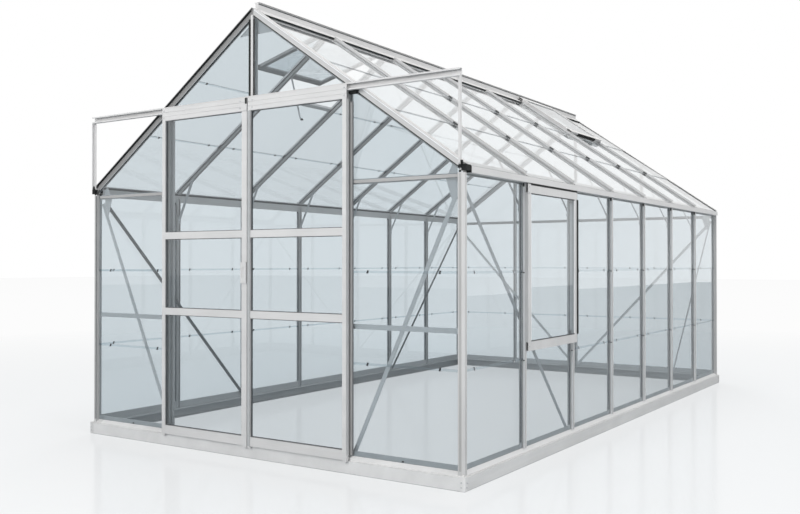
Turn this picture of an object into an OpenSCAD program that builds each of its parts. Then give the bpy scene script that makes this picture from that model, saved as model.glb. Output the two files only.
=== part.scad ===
// Aluminium greenhouse with a pitched glass roof, two sliding doors in the front gable,
// a side window, two roof vents, eave gutters and a low base frame.

/* [House] */
// Spacing of the glazing bars, from centre to centre
bay_pitch = 625; // [560:1:760]
// Bays along a side wall
side_bays = 7; // [6:1:10]
// From the outermost bar line to the outer face of the frame
corner_margin = 25; // [22:1:40]
// Height of the gutter's underside above the ground
gutter_z = 1428; // [1300:1:1700]
// Slope of the roof, in degrees
roof_pitch = 35; // [28:1:42]
// Depth of the glass seat behind the frame's outer face
seat_in = 24; // [22:1:30]
// From the gutter's underside up to the roof's glass seat, at the frame's outer face
roof_rise = 34; // [32:1:44]

/* [Base] */
// Height of the base frame
base_h = 62; // [40:1:140]
// How far the base frame stands out beyond the walls
base_out = 10; // [4:1:16]
// Thickness of the base's folded sheet
base_t = 2.5; // [1.5:0.5:4]
// Width of the base's top flange
base_top_w = 60; // [50:1:80]
// Width of the base's bottom flange
base_foot_w = 34; // [20:1:60]

/* [Extrusions] */
// Wall thickness of the extruded profiles
wall_t = 2.2; // [1.8:0.1:2.8]
// How far a glazing bar stands out from the glass seat
bar_proud = 21; // [16:0.5:21.5]
// Width of a glazing bar's outer head
bar_head_w = 14; // [10:1:20]
// Thickness of a glazing bar's outer head
bar_head_t = 4; // [2:0.5:6]
// Thickness of a glazing bar's web
bar_web_t = 4; // [3:0.5:6]
// Width of a glazing bar's glass flange
bar_flange_w = 30; // [26:1:36]
// Depth of a glazing bar behind the glass seat
bar_depth = 16; // [14:1:24]
// Width of a glazing bar's bolt channel
bar_channel_w = 22; // [18:1:25]
// Mouth of a glazing bar's bolt channel
bar_slot_w = 9; // [7:0.5:11]
// Width of each face of a corner post
post_w = 30; // [28:1:31]
// Corner that is cut off a corner post
post_chamfer = 11; // [6:1:16]
// Length of a corner post's glass flange
post_lip = 11; // [8:1:11]

/* [Sill and gutter] */
// Height of the sill's outer lip
sill_lip_h = 6; // [4:1:10]
// Height of the sill's sloped top, where the glass stands
sill_h = 21; // [16:1:30]
// Height of the sill's inner upstand
sill_up_h = 46; // [36:1:60]
// Width of the sill's foot behind the upstand
sill_foot_w = 20; // [17:1:26]
// How far the gutter's lip stands out beyond the wall
gutter_out = 16; // [14:1:30]
// Height of the gutter's outer wall
gutter_h = 31; // [28:1:34]
// Width of the gutter's rolled lip
gutter_lip_w = 6; // [4:1:10]
// Depth of the gutter's flange behind the wall glass
gutter_flange_h = 9; // [6:1:26]
// Length of the gutter's arm under the roof
gutter_arm = 6; // [4:1:32]
// Thickness of a gutter end cap
cap_t = 4; // [3:0.5:6]

/* [Ridge and verges] */
// From the glass seats' meeting line up to the ridge's top
ridge_rise = 46; // [40:1:60]
// Width of the ridge's top flange
ridge_top_w = 34; // [28:1:44]
// Width of the ridge's upright box
ridge_box_w = 20; // [16:1:26]
// Length of the ridge's covering wings, along the slope
ridge_wing_l = 56; // [48:1:80]
// Height of the ridge's wings above the glass seat
ridge_wing_w = 10; // [9:1:12]
// Length of the ridge's glass seats, along the slope
ridge_seat_l = 46; // [36:1:48]
// Depth of a verge rafter's face below the roof's glass seat
verge_down = 22; // [18:1:30]
// Height of a verge rafter's face above the roof's glass seat
verge_up = 9.5; // [9.5:0.5:12]
// How far a verge rafter's face stands behind the frame's outer face
verge_back = 14; // [12:1:16]
// How far the verge's top flange stands out in front of its face
verge_nose = 11; // [4:1:11]
// Width of a verge rafter's top flange, over the edge of the roof glass
verge_top_w = 28; // [12:1:28]
// Width of a verge rafter's roof seat
verge_seat_w = 42; // [36:1:60]
// Depth of a verge rafter's gable seat
verge_gable_d = 34; // [28:1:44]

/* [Glass] */
// Thickness of the panes
glass_t = 3; // [3:0.5:4]
// Overlap of one pane over the pane below
glass_lap = 12; // [8:1:20]
// Gap between a pane's edge and the bar's web
glass_edge = 5; // [4:0.5:8]
// Length of the lowest roof pane
eave_pane_l = 525; // [480:1:600]
// Length of the highest roof pane
top_pane_l = 563; // [520:1:600]

/* [Stays and braces] */
// Width of the flat braces
brace_w = 22; // [16:1:30]
// Thickness of the flat braces
brace_t = 3; // [2:0.5:4]
// Height of the gable's tie rails
rail_h = 24; // [18:1:30]
// Height of the front gable's middle rails above the ground
mid_rail_z = 700; // [500:1:900]
// How far a knee stay reaches along each bar
knee_reach = 150; // [110:1:200]
// Width of a knee stay
knee_w = 20; // [14:1:26]
// From the frame's outer face to a gable brace's upper end
brace_edge = 40; // [39:1:60]
// Side of a gusset plate at an apex
gusset = 130; // [100:1:160]
// Width of a gusset plate at an eave corner
eave_gusset_w = 60; // [40:1:80]
// Height of the lower plates at the eave corners
eave_plate_h = 95; // [60:1:120]
// Thickness of a gusset plate
gusset_t = 2.5; // [2:0.5:4]

/* [Doors] */
// Gap between the two leaves, and around each moving leaf
door_gap = 6; // [5:0.5:12]
// From the gable's outer face to the leaf's back
door_back = 10; // [8:1:16]
// Depth of a leaf's stiles and rails
door_d = 20; // [16:1:30]
// How far a leaf reaches past the centre of its jamb
door_lap = 18; // [8:1:24]
// Width of the leaves' outer stiles
stile_w = 24; // [20:1:40]
// Width of the left leaf's meeting stile
left_meet_w = 37; // [28:1:50]
// Width of the right leaf's meeting stile
right_meet_w = 18; // [14:1:40]
// Height of a leaf's bottom rail
door_foot_h = 48; // [36:1:70]
// Height of a leaf's middle rails
door_rail_h = 38; // [28:1:50]
// Height of the lower middle rail's underside
door_rail_1_z = 733; // [600:1:800]
// Height of the upper middle rail's underside
door_rail_2_z = 1154; // [1000:1:1250]
// Height of the leaf's top board
board_h = 68; // [56:1:90]
// Thickness of the leaf's top board
board_t = 6; // [5:0.5:7]
// Height of the door track's underside
track_z = 1859; // [1760:1:1960]
// Height of the door track
track_h = 36; // [32:1:44]
// How far a leaf's top board hangs below the door track
board_drop = 42; // [36:1:50]
// Width of the brackets at the track's ends
bracket_w = 17; // [12:1:24]
// Radius of a door roller
roller_r = 10; // [8:0.5:11]
// Width of a door roller
roller_w = 6; // [5:0.5:7]
// Height of the door handle's plate
handle_h = 110; // [80:1:160]
// Depth of the door handle
handle_d = 9; // [6:0.5:20]
// Height of the door handle's middle
handle_z = 970; // [840:1:1080]

/* [Window and vents] */
// Bay that holds the side window, from the front
window_bay = 2; // [2:1:4]
// Height of the side window's sill rail
window_z = 575; // [540:1:700]
// Width of a window's frame members
sash_w = 34; // [26:1:44]
// Depth of a window's frame members
sash_d = 16; // [12:1:20]
// Height of the window's head and foot members
sash_rail_h = 46; // [36:1:60]
// Bay that holds the left roof vent, from the front
left_vent_bay = 2; // [2:1:3]
// Bay that holds the right roof vent, from the back
right_vent_bay = 2; // [2:1:3]
// Length of a roof vent along the slope
vent_l = 560; // [480:1:620]
// How far the left roof vent stands open, in degrees
vent_angle = 20; // [0:1:40]

/* [Hidden] */
// Roundness of the rollers
$fn = 48;
// Bays across a gable
gable_bays = 4;
// Assembly clearance between pieces that seat on each other
seat = 0.3;
// Overrun of a cut beyond the surface it breaks
over = 5;
// Size of the house's frame, from outer face to outer face
house_w = gable_bays * bay_pitch + 2 * corner_margin;
house_l = side_bays * bay_pitch + 2 * corner_margin;
half_w = house_w / 2;
// How far the doors stand out in front
door_out = door_back + door_d + handle_d;
// The front gable's outer face, so that the part's box is centred on its length
front_y = (door_out - base_out - house_l) / 2;
// Height of the roof's glass seat at the frame's outer face, and where both seats meet
roof_z = gutter_z + roof_rise;
apex_z = roof_z + half_w * tan(roof_pitch);
slope_l = half_w / cos(roof_pitch);
// Glass seat planes, measured from the outer faces
wall_seat = half_w - seat_in;
glass_z = base_h + sill_h + seat;
wall_glass_h = gutter_z - seat - glass_z;
pane_half = bay_pitch / 2 - bar_web_t / 2 - glass_edge;
brace_in = bar_depth + seat;
bar_y = [for (i = [1:side_bays - 1]) corner_margin + i * bay_pitch];
gable_x = [for (i = [1:gable_bays - 1]) -half_w + corner_margin + i * bay_pitch];
jamb_x = gable_x[gable_bays - 2];
wing_end = ridge_wing_l + seat;
arm_end = (half_w - seat_in - gutter_arm) / cos(roof_pitch) - seat;

frame_col = [0.80, 0.80, 0.79];
inner_col = [0.66, 0.68, 0.70];
base_col = [0.86, 0.86, 0.85];
glass_col = [0.75, 0.84, 0.87, 0.35];
black_col = [0.08, 0.08, 0.08];

// Shared placing and outlines

module house() {
    translate([0, front_y, 0]) children();
}

// The children at the right and at the left, mirrored
module both_sides() {
    children();
    mirror([1, 0, 0]) children();
}

// The children at the front and at the back, mirrored
module both_ends() {
    children();
    translate([0, house_l, 0]) mirror([0, 1, 0]) children();
}

// The right half of a symmetric outline, closed by its mirror image
function mirrored(half) = concat(half, [
    for (i = [len(half) - 1:-1:0]) if (half[i][0] != 0) [-half[i][0], half[i][1]]
]);

// A point of the right roof slope: s down the slope from the apex, w above the glass seat
function roof_x(s, w) = s * cos(roof_pitch) + w * sin(roof_pitch);
function roof_h(s, w) = apex_z - s * sin(roof_pitch) + w * cos(roof_pitch);
function roof_pt(s, w) = [roof_x(s, w), roof_h(s, w)];
// Distance down the slope at which a line w above the seat reaches the given x
function slope_at(x, w) = (x - w * sin(roof_pitch)) / cos(roof_pitch);
// Height of the roof's glass seat over x
function seat_z(x) = apex_z - x * tan(roof_pitch);

// Glazing bar: outer head and web, glass flange and a bolt channel open to the inside
bar_outline = mirrored([
    [bar_head_w / 2, bar_proud],
    [bar_head_w / 2, bar_proud - bar_head_t],
    [bar_web_t / 2, bar_proud - bar_head_t],
    [bar_web_t / 2, 0],
    [bar_flange_w / 2, 0],
    [bar_flange_w / 2, -wall_t],
    [bar_channel_w / 2, -wall_t],
    [bar_channel_w / 2, -bar_depth],
    [bar_slot_w / 2, -bar_depth],
    [bar_slot_w / 2, wall_t - bar_depth],
    [bar_channel_w / 2 - wall_t, wall_t - bar_depth],
    [bar_channel_w / 2 - wall_t, -wall_t]
]);

// A bar along Z whose seat faces +Y. Its flange stops short of each end by foot[0] and
// head[0], its web and head by foot[1] and head[1]; the bolt channel runs through.
module bar(length, foot, head) {
    difference() {
        linear_extrude(length) polygon(bar_outline);
        bar_notch(foot);
        translate([0, 0, length]) mirror([0, 0, 1]) bar_notch(head);
    }
}

module bar_notch(cut) {
    deep = wall_t + seat;
    if (cut[0] > 0)
        translate([-bar_flange_w, -deep, -over])
            cube([2 * bar_flange_w, deep + seat, cut[0] + over]);
    if (cut[1] > 0)
        translate([-bar_flange_w, -deep, -over])
            cube([2 * bar_flange_w, bar_proud + deep + over, cut[1] + over]);
}

// A bar that stands in a wall: its web reaches from the sill to the given top
module wall_bar(top) {
    foot_z = base_h + wall_t + seat;
    translate([0, 0, foot_z])
        bar(top - foot_z,
            [base_h + sill_up_h + seat - foot_z, base_h + sill_h + seat - foot_z],
            [gutter_flange_h + seat + top - gutter_z, seat + top - gutter_z]);
}

// Turns a bar that stands along Z into the right roof slope, its foot at the ridge
module on_slope(y, s) {
    translate([roof_x(s, 0), y, roof_h(s, 0)])
        rotate([0, 90 + roof_pitch, 0])
            rotate([0, 0, 90]) children();
}

// A rail along X whose outline is given as [inward, up], with mitred ends
module mitred_rail(length, outline, depth, height) {
    half = length / 2 - seat / 2;
    intersection() {
        translate([-half, 0, 0]) rotate([90, 0, 90]) linear_extrude(2 * half) polygon(outline);
        translate([0, 0, -over]) linear_extrude(height + 2 * over)
            polygon([[-half, 0], [half, 0], [half - depth, depth], [depth - half, depth]]);
    }
}

// Four mitred rails round the house, standing out from the walls by the given amount
module mitred_ring(out, outline, depth, height) {
    both_ends() translate([0, -out, 0])
        mitred_rail(house_w + 2 * out, outline, depth, height);
    both_sides() translate([half_w + out, house_l / 2, 0]) rotate([0, 0, 90])
        mitred_rail(house_l + 2 * out, outline, depth, height);
}

// A flat strip between two points of a plane, with its ends cut square
module strip(from, to, width) {
    run = to - from;
    translate(from) rotate(atan2(run[1], run[0]))
        translate([0, -width / 2]) square([norm(run), width]);
}

// Base and walls

module base_frame() {
    outline = [
        [0, 0], [base_foot_w, 0], [base_foot_w, base_t], [base_t, base_t],
        [base_t, base_h - base_t], [base_top_w, base_h - base_t],
        [base_top_w, base_h], [0, base_h]
    ];
    color(base_col) house() mitred_ring(base_out, outline, base_top_w, base_h);
}

// The sill's sloped weathering, its glass ledge and its upstand
sill_outline = [
    [0, 0], [seat_in + wall_t + sill_foot_w, 0], [seat_in + wall_t + sill_foot_w, wall_t],
    [seat_in + wall_t, wall_t], [seat_in + wall_t, sill_up_h], [seat_in, sill_up_h],
    [seat_in, sill_h], [seat_in - glass_t - 2 * seat, sill_h], [0, sill_lip_h]
];

module sill_frame() {
    color(base_col) house() translate([0, 0, base_h])
        mitred_ring(0, sill_outline, seat_in + wall_t + sill_foot_w, sill_up_h);
}

// Corner post: a cut-off corner and a glass flange for each wall, hollow inside
module post_outline() {
    back = seat_in + wall_t;
    difference() {
        polygon([
            [post_chamfer, 0], [post_w, 0], [post_w, seat_in], [post_w + post_lip, seat_in],
            [post_w + post_lip, back], [back, back], [back, post_w + post_lip],
            [seat_in, post_w + post_lip], [seat_in, post_w], [0, post_w], [0, post_chamfer]
        ]);
        polygon([
            [post_chamfer, wall_t], [post_w - wall_t, wall_t], [post_w - wall_t, seat_in - wall_t],
            [seat_in - wall_t, seat_in - wall_t], [seat_in - wall_t, post_w - wall_t],
            [wall_t, post_w - wall_t], [wall_t, post_chamfer]
        ]);
    }
}

// The space of the sill below a post, for one of its two faces
module sill_room() {
    reach = post_w + post_lip + over;
    ledge = seat_in - glass_t - 2 * seat;
    translate([-over, 0, 0]) rotate([90, 0, 90]) linear_extrude(reach + over)
        polygon([
            [-over, -over], [reach, -over], [reach, sill_up_h + seat],
            [seat_in - seat, sill_up_h + seat], [seat_in - seat, sill_h + seat],
            [ledge, sill_h + seat], [0, sill_lip_h + seat], [-over, sill_lip_h + seat]
        ]);
}

module corner_post() {
    foot = sill_lip_h + seat;
    translate([half_w, 0, base_h]) mirror([1, 0, 0]) difference() {
        translate([0, 0, foot]) linear_extrude(gutter_z - base_h - foot) post_outline();
        intersection() {
            sill_room();
            mirror([1, -1, 0]) sill_room();
        }
    }
}

module corner_posts() {
    color(frame_col) house() both_ends() both_sides() corner_post();
}

module side_bars() {
    for (y = bar_y)
        translate([wall_seat, y, 0]) rotate([0, 0, -90])
            wall_bar(roof_z - bar_depth);
}

module right_wall_bars() {
    color(frame_col) house() side_bars();
}

module left_wall_bars() {
    color(frame_col) house() mirror([1, 0, 0]) side_bars();
}

// Gutter, with its flange behind the wall glass and its arm under the roof glass
function gutter_outline() = let (
    inner = wall_seat,
    arm = inner - gutter_arm,
    lip = half_w + gutter_out,
    drop = wall_t / cos(roof_pitch)
) [
    [lip, gutter_z], [lip, gutter_z + gutter_h], [lip - gutter_lip_w, gutter_z + gutter_h],
    [lip - gutter_lip_w, gutter_z + gutter_h - wall_t],
    [lip - wall_t, gutter_z + gutter_h - wall_t], [lip - wall_t, gutter_z + wall_t],
    [inner, gutter_z + wall_t], [inner, seat_z(inner)], [arm, seat_z(arm)],
    [arm, seat_z(arm) - drop], [inner - wall_t, seat_z(inner - wall_t) - drop],
    [inner - wall_t, gutter_z - gutter_flange_h], [inner, gutter_z - gutter_flange_h],
    [inner, gutter_z]
];

module gutter() {
    front = verge_seat_w + cap_t + 2 * seat;
    back = house_l - verge_seat_w - seat;
    translate([0, back, 0]) rotate([90, 0, 0])
        linear_extrude(back - front) polygon(gutter_outline());
}

module right_gutter() {
    color(frame_col) house() gutter();
}

module left_gutter() {
    color(frame_col) house() mirror([1, 0, 0]) gutter();
}

// Roof

// The web and head of a bar alone
bar_head_outline = mirrored([
    [bar_head_w / 2, bar_proud], [bar_head_w / 2, bar_proud - bar_head_t],
    [bar_web_t / 2, bar_proud - bar_head_t], [bar_web_t / 2, seat]
]);

// The bolt channel ends at the gutter's arm, the web and the head run on over it
module roof_bars(bays) {
    head = slope_at(ridge_box_w, 0);
    channel_end = slope_at(wall_seat - wall_t - seat, 0) - gutter_arm;
    eave_end = roof_end_s - bar_depth;
    for (y = bays)
        on_slope(y, head) {
            bar(channel_end - head, [ridge_seat_l + seat - head, wing_end - head],
                [max(0, channel_end - arm_end), 0]);
            translate([0, 0, wing_end - head])
                linear_extrude(eave_end - wing_end) polygon(bar_head_outline);
        }
}

module right_roof_bars() {
    color(frame_col) house() roof_bars(bar_y);
}

module left_roof_bars() {
    color(frame_col) house() mirror([1, 0, 0]) roof_bars(bar_y);
}

// Ridge: a top flange on an upright box, wings over the glass and seats under it
function ridge_outline() = mirrored([
    [ridge_top_w / 2, apex_z + ridge_rise],
    [ridge_top_w / 2, apex_z + ridge_rise - wall_t],
    [ridge_box_w / 2, apex_z + ridge_rise - wall_t],
    roof_pt(slope_at(ridge_box_w / 2, ridge_wing_w + wall_t), ridge_wing_w + wall_t),
    roof_pt(ridge_wing_l, ridge_wing_w + wall_t),
    roof_pt(ridge_wing_l, ridge_wing_w),
    roof_pt(slope_at(bar_web_t, ridge_wing_w), ridge_wing_w),
    roof_pt(slope_at(bar_web_t, 0), 0),
    roof_pt(ridge_seat_l, 0),
    roof_pt(ridge_seat_l, -wall_t),
    [0, apex_z - wall_t / cos(roof_pitch)]
]);

module ridge(from, to) {
    translate([0, to, 0]) rotate([90, 0, 0]) linear_extrude(to - from) polygon(ridge_outline());
}

// The ridge is spliced at the second bar line from the back
splice_y = house_l - corner_margin - 2 * bay_pitch;

module ridge_front() {
    color(frame_col) house() ridge(verge_seat_w + seat, splice_y - seat / 2);
}

module ridge_rear() {
    color(frame_col) house() ridge(splice_y + seat / 2, house_l - verge_seat_w - seat);
}

// Cap on the gutter's front end, following the gutter's outline below the roof glass
module gutter_end_caps() {
    inner = wall_seat;
    arm = inner - gutter_arm;
    lip = half_w + gutter_out;
    bead = lip - gutter_lip_w;
    color(black_col) house() both_sides()
        translate([0, verge_seat_w + seat + cap_t, 0]) rotate([90, 0, 0])
            linear_extrude(cap_t) polygon([
                [lip, gutter_z], [lip, gutter_z + gutter_h], [bead, gutter_z + gutter_h],
                [bead, seat_z(bead) - seat], [arm, seat_z(arm) - seat],
                [arm, seat_z(arm) - 2 * wall_t], [inner - wall_t, gutter_z - gutter_flange_h],
                [inner, gutter_z - gutter_flange_h], [inner, gutter_z]
            ]);
}

// Verge rafter: a gable face with a top flange, a seat for the roof glass and one for the
// gable glass, cut plumb at the apex and level over the corner post
verge_web = verge_back + wall_t;
verge_outline = [
    [verge_back, -verge_down], [verge_web, -verge_down], [verge_web, -wall_t],
    [seat_in, -wall_t], [seat_in, -verge_gable_d], [seat_in + wall_t, -verge_gable_d],
    [seat_in + wall_t, -wall_t], [verge_seat_w, -wall_t], [verge_seat_w, 0], [verge_web, 0],
    [verge_web, verge_up - wall_t], [verge_back + verge_top_w, verge_up - wall_t],
    [verge_back + verge_top_w, verge_up], [verge_back - verge_nose, verge_up],
    [verge_back - verge_nose, verge_up - wall_t], [verge_back, verge_up - wall_t]
];

module rafter() {
    top = apex_z + ridge_rise + gutter_h;
    intersection() {
        on_slope(0, -verge_gable_d) linear_extrude(slope_l + 2 * verge_gable_d)
            polygon(verge_outline);
        translate([0, verge_seat_w + over, 0]) rotate([90, 0, 0])
            linear_extrude(verge_seat_w + 2 * over)
                polygon([
                    [seat / 2, gutter_z + seat], [half_w - seat, gutter_z + seat],
                    [half_w - seat, top], [seat / 2, top]
                ]);
    }
}

module front_rafters() {
    color(frame_col) house() both_sides() rafter();
}

module back_rafters() {
    color(frame_col) house() translate([0, house_l, 0]) mirror([0, 1, 0]) both_sides() rafter();
}

// Gables

// Everything above a line that runs the given distance below the roof's glass seat
module above_roof(depth, y, thick) {
    drop = depth / cos(roof_pitch);
    top = apex_z + ridge_rise;
    translate([0, y + thick, 0]) rotate([90, 0, 0]) linear_extrude(thick)
        polygon([
            [-half_w, seat_z(half_w) - drop], [0, apex_z - drop],
            [half_w, seat_z(half_w) - drop], [half_w, top], [-half_w, top]
        ]);
}

// Trims gable bars to the verge rafters: heads and webs end below the rafter's face
module under_verge() {
    difference() {
        children();
        above_roof(wall_t + seat, -over, verge_seat_w + 2 * over);
        above_roof(verge_down + seat, -over, seat_in + over);
        above_roof(verge_gable_d + seat, seat_in - seat, wall_t + 2 * seat);
    }
}

// A bar of the front gable, from its foot to the roof
module gable_bar(x, foot_z, foot) {
    translate([x, seat_in, foot_z]) rotate([0, 0, 180])
        bar(apex_z - foot_z, foot, [0, 0]);
}

sill_notch = [sill_up_h - wall_t, sill_h - wall_t];
head_rail_z = track_z;

module front_gable_bars() {
    foot = base_h + wall_t + seat;
    color(frame_col) house() under_verge() {
        for (x = [-jamb_x, jamb_x]) gable_bar(x, foot, sill_notch);
        gable_bar(0, head_rail_z + rail_h + seat, [0, 0]);
    }
}

module back_gable_bars() {
    foot = base_h + wall_t + seat;
    color(frame_col) house() translate([0, house_l, 0]) mirror([0, 1, 0]) under_verge()
        for (x = gable_x) gable_bar(x, foot, sill_notch);
}

// A level channel between two bars of a gable, open to the inside
module tie_rail(from, to, z) {
    depth = bar_depth - wall_t - seat;
    outline = [
        [0, 0], [depth, 0], [depth, wall_t], [wall_t, wall_t], [wall_t, rail_h - wall_t],
        [depth, rail_h - wall_t], [depth, rail_h], [0, rail_h]
    ];
    translate([from + seat, seat_in + wall_t + seat, z]) rotate([90, 0, 90])
        linear_extrude(to - from - 2 * seat) polygon(outline);
}

bar_side = bar_channel_w / 2;
post_inner = half_w - seat_in - wall_t - post_lip;
eave_tie_z = gutter_z - rail_h;

module front_gable_rails() {
    color(frame_col) house() {
        both_sides() for (z = [mid_rail_z, eave_tie_z])
            tie_rail(jamb_x + bar_side, post_inner, z);
        tie_rail(bar_side - jamb_x, jamb_x - bar_side, head_rail_z);
    }
}

module back_gable_rails() {
    stops = concat([-post_inner - bar_side], gable_x, [post_inner + bar_side]);
    color(frame_col) house() translate([0, house_l, 0]) mirror([0, 1, 0])
        for (i = [0:gable_bays - 1])
            tie_rail(stops[i] + bar_side, stops[i + 1] - bar_side, eave_tie_z);
}

// Braces lie flat on the bars' inner faces
brace_low = base_h + wall_t + brace_w;
brace_high = gutter_z - gutter_flange_h - brace_w - knee_w;
brace_corner = seat_in + brace_in + brace_t + brace_w;

module side_wall_braces() {
    color(inner_col) house() both_sides() both_ends()
        translate([wall_seat - brace_in, 0, 0]) rotate([90, 0, -90])
            mirror([1, 0, 0]) linear_extrude(brace_t)
                strip([brace_corner, brace_high],
                    [corner_margin + 2 * bay_pitch - brace_w, brace_low], brace_w);
}

module gable_brace(to_x) {
    translate([0, seat_in + brace_in + brace_t, 0]) rotate([90, 0, 0]) linear_extrude(brace_t)
        strip([half_w - brace_edge, brace_high], [to_x, brace_low], brace_w);
}

module gable_braces() {
    color(inner_col) house() {
        both_sides() gable_brace(jamb_x + bar_flange_w / 2);
        translate([0, house_l, 0]) mirror([0, 1, 0]) both_sides() gable_brace(brace_w);
    }
}

// A bent strip that ties a wall bar to its roof bar
module knee_stays() {
    x = wall_seat - brace_in - brace_t / 2;
    w = -brace_in - brace_t / 2;
    low = roof_z - knee_reach;
    s = slope_at(wall_seat, 0) - knee_reach;
    tab = 1.5 * knee_w;
    color(inner_col) house() both_sides() for (y = bar_y)
        translate([0, y + knee_w / 2, 0]) rotate([90, 0, 0]) linear_extrude(knee_w) {
            strip([x, low - tab], [x, low + brace_t], brace_t);
            strip([x, low], roof_pt(s, w), brace_t);
            strip(roof_pt(s + brace_t, w), roof_pt(s - tab, w), brace_t);
        }
}

// Plates at the gables' apexes, on the bars, and at the eave corners: an upper one on the tie
// rail and a lower one on the brace's head
module gusset_plates() {
    x = half_w - brace_edge - bar_flange_w / 2;
    w = -verge_gable_d;
    run = slope_at(x, w);
    top = slope_at(bar_side, w);
    color(inner_col) house() both_ends()
        translate([0, seat_in + brace_in + gusset_t, 0]) rotate([90, 0, 0]) {
            linear_extrude(gusset_t) {
                polygon(mirrored([[0, roof_h(top, w)], roof_pt(top, w), roof_pt(top + gusset, w)]));
                both_sides() polygon([
                    [x, eave_tie_z], [x, roof_h(run, w)], roof_pt(run - eave_gusset_w / 2, w),
                    [x - eave_gusset_w, eave_tie_z]
                ]);
            }
            translate([0, 0, -brace_t - seat]) linear_extrude(gusset_t) both_sides() polygon([
                [x, eave_tie_z - seat], [x, eave_tie_z - eave_plate_h],
                [x - eave_gusset_w / 2, eave_tie_z - eave_plate_h],
                [x - eave_gusset_w, eave_tie_z - seat]
            ]);
        }
}

// Glass

// A pane whose foot stands at the origin, its face looking along +Y. A lapped pane leans
// its foot out over the head of the pane below.
module pane(outline, height, lapped) {
    tilt = lapped ? atan((glass_t + seat) / (height - glass_lap)) : 0;
    translate([0, seat, height]) rotate([tilt, 0, 0]) translate([0, glass_t, -height])
        rotate([90, 0, 0]) linear_extrude(glass_t) polygon(outline);
}

module plain_pane(width, height, lapped) {
    pane([[-width / 2, 0], [width / 2, 0], [width / 2, height], [-width / 2, height]],
        height, lapped);
}

pane_w = 2 * pane_half;
pane_h = (wall_glass_h + 2 * glass_lap) / 3;
pane_step = pane_h - glass_lap;

module wall_panes(bay) {
    translate([wall_seat, corner_margin + (bay - 1 / 2) * bay_pitch, 0]) rotate([0, 0, -90])
        for (row = [0:2])
            translate([0, 0, glass_z + row * pane_step]) plain_pane(pane_w, pane_h, row > 0);
}

module right_wall_glass() {
    color(glass_col) house() {
        for (bay = [1:side_bays]) if (bay != window_bay) wall_panes(bay);
        translate([wall_seat, corner_margin + (window_bay - 1 / 2) * bay_pitch, glass_z])
            rotate([0, 0, -90]) plain_pane(pane_w, window_z - 2 * seat - glass_z, false);
    }
}

module left_wall_glass() {
    color(glass_col) house() mirror([1, 0, 0]) for (bay = [1:side_bays]) wall_panes(bay);
}

roof_top_s = slope_at(bar_web_t, 0) + 2 * seat;
roof_end_s = slope_at(half_w + gutter_lip_w, 0) - glass_t;
vent_sill_s = vent_l - sash_rail_h / 2;

// A roof pane in a bay, from s_top to s_end down the slope
module roof_pane(bay, s_top, s_end, lapped) {
    translate([
        roof_x(s_end, 0), corner_margin + (bay - 1 / 2) * bay_pitch, roof_h(s_end, 0)
    ])
        rotate([0, roof_pitch - 90, 0]) rotate([0, 0, -90])
            plain_pane(pane_w, s_end - s_top, lapped);
}

module roof_panes(vent_bay) {
    low = roof_end_s - eave_pane_l;
    mid = roof_top_s + top_pane_l - glass_lap;
    for (bay = [1:side_bays]) {
        roof_pane(bay, low, roof_end_s, false);
        if (bay != vent_bay) {
            roof_pane(bay, mid, low + glass_lap, true);
            roof_pane(bay, roof_top_s, mid + glass_lap, true);
        } else
            roof_pane(bay, vent_sill_s + rail_h + seat, low + glass_lap, true);
    }
}

right_vent = side_bays + 1 - right_vent_bay;

module right_roof_glass() {
    color(glass_col) house() roof_panes(right_vent);
}

module left_roof_glass() {
    color(glass_col) house() mirror([1, 0, 0]) roof_panes(left_vent_bay);
}

// Height of a gable pane's top edge over x, in the pocket of the verge rafter
verge_pocket = wall_t + glass_edge;
function gable_top(x) = apex_z - abs(x) * tan(roof_pitch) - verge_pocket / cos(roof_pitch);

// The pane that fills a gable bay from z up to the roof
module gable_top_pane(x0, x1, z, lapped) {
    mid = (x0 + x1) / 2;
    tall = max(gable_top(x0), gable_top(x1)) - z;
    translate([mid, 0, z])
        pane([
            [x0 - mid, 0], [x1 - mid, 0],
            [x1 - mid, gable_top(x1) - z], [x0 - mid, gable_top(x0) - z]
        ], tall, lapped);
}

// A gable bay's panes: three rows up to the eave and one to the roof
module gable_panes(bay) {
    mid = -half_w + corner_margin + (bay - 1 / 2) * bay_pitch;
    for (row = [0:2])
        translate([mid, 0, glass_z + row * pane_step]) plain_pane(pane_w, pane_h, row > 0);
    gable_top_pane(mid - pane_half, mid + pane_half, glass_z + 3 * pane_step, true);
}

module front_gable_glass() {
    head = head_rail_z + rail_h;
    color(glass_col) house() translate([0, seat_in, 0]) mirror([0, 1, 0]) {
        for (bay = [1, gable_bays]) gable_panes(bay);
        for (bay = [2:gable_bays - 1]) {
            mid = -half_w + corner_margin + (bay - 1 / 2) * bay_pitch;
            gable_top_pane(mid - pane_half, mid + pane_half, head - glass_lap, false);
        }
    }
}

module back_gable_glass() {
    color(glass_col) house() translate([0, house_l - seat_in, 0])
        for (bay = [1:gable_bays]) gable_panes(bay);
}

// Doors

// Track: a back plate, a ledge with an upturned lip and a hood with a downturned lip
track_back = seat_in - bar_proud - seat;
track_front = door_back + door_d - board_t - door_gap;
lip_h = roller_r / 2;
track_outline = [
    [track_back, 0], [track_back, track_h], [-track_front, track_h],
    [-track_front, track_h - wall_t - lip_h], [wall_t - track_front, track_h - wall_t - lip_h],
    [wall_t - track_front, track_h - wall_t], [track_back - wall_t, track_h - wall_t],
    [track_back - wall_t, wall_t], [wall_t - track_front, wall_t],
    [wall_t - track_front, wall_t + lip_h], [-track_front, wall_t + lip_h], [-track_front, 0]
];
track_half = half_w - track_h / 4;

module door_track() {
    color(frame_col) house() translate([-track_half, 0, track_z]) rotate([90, 0, 90])
        linear_extrude(2 * track_half) polygon(track_outline);
}

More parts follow.
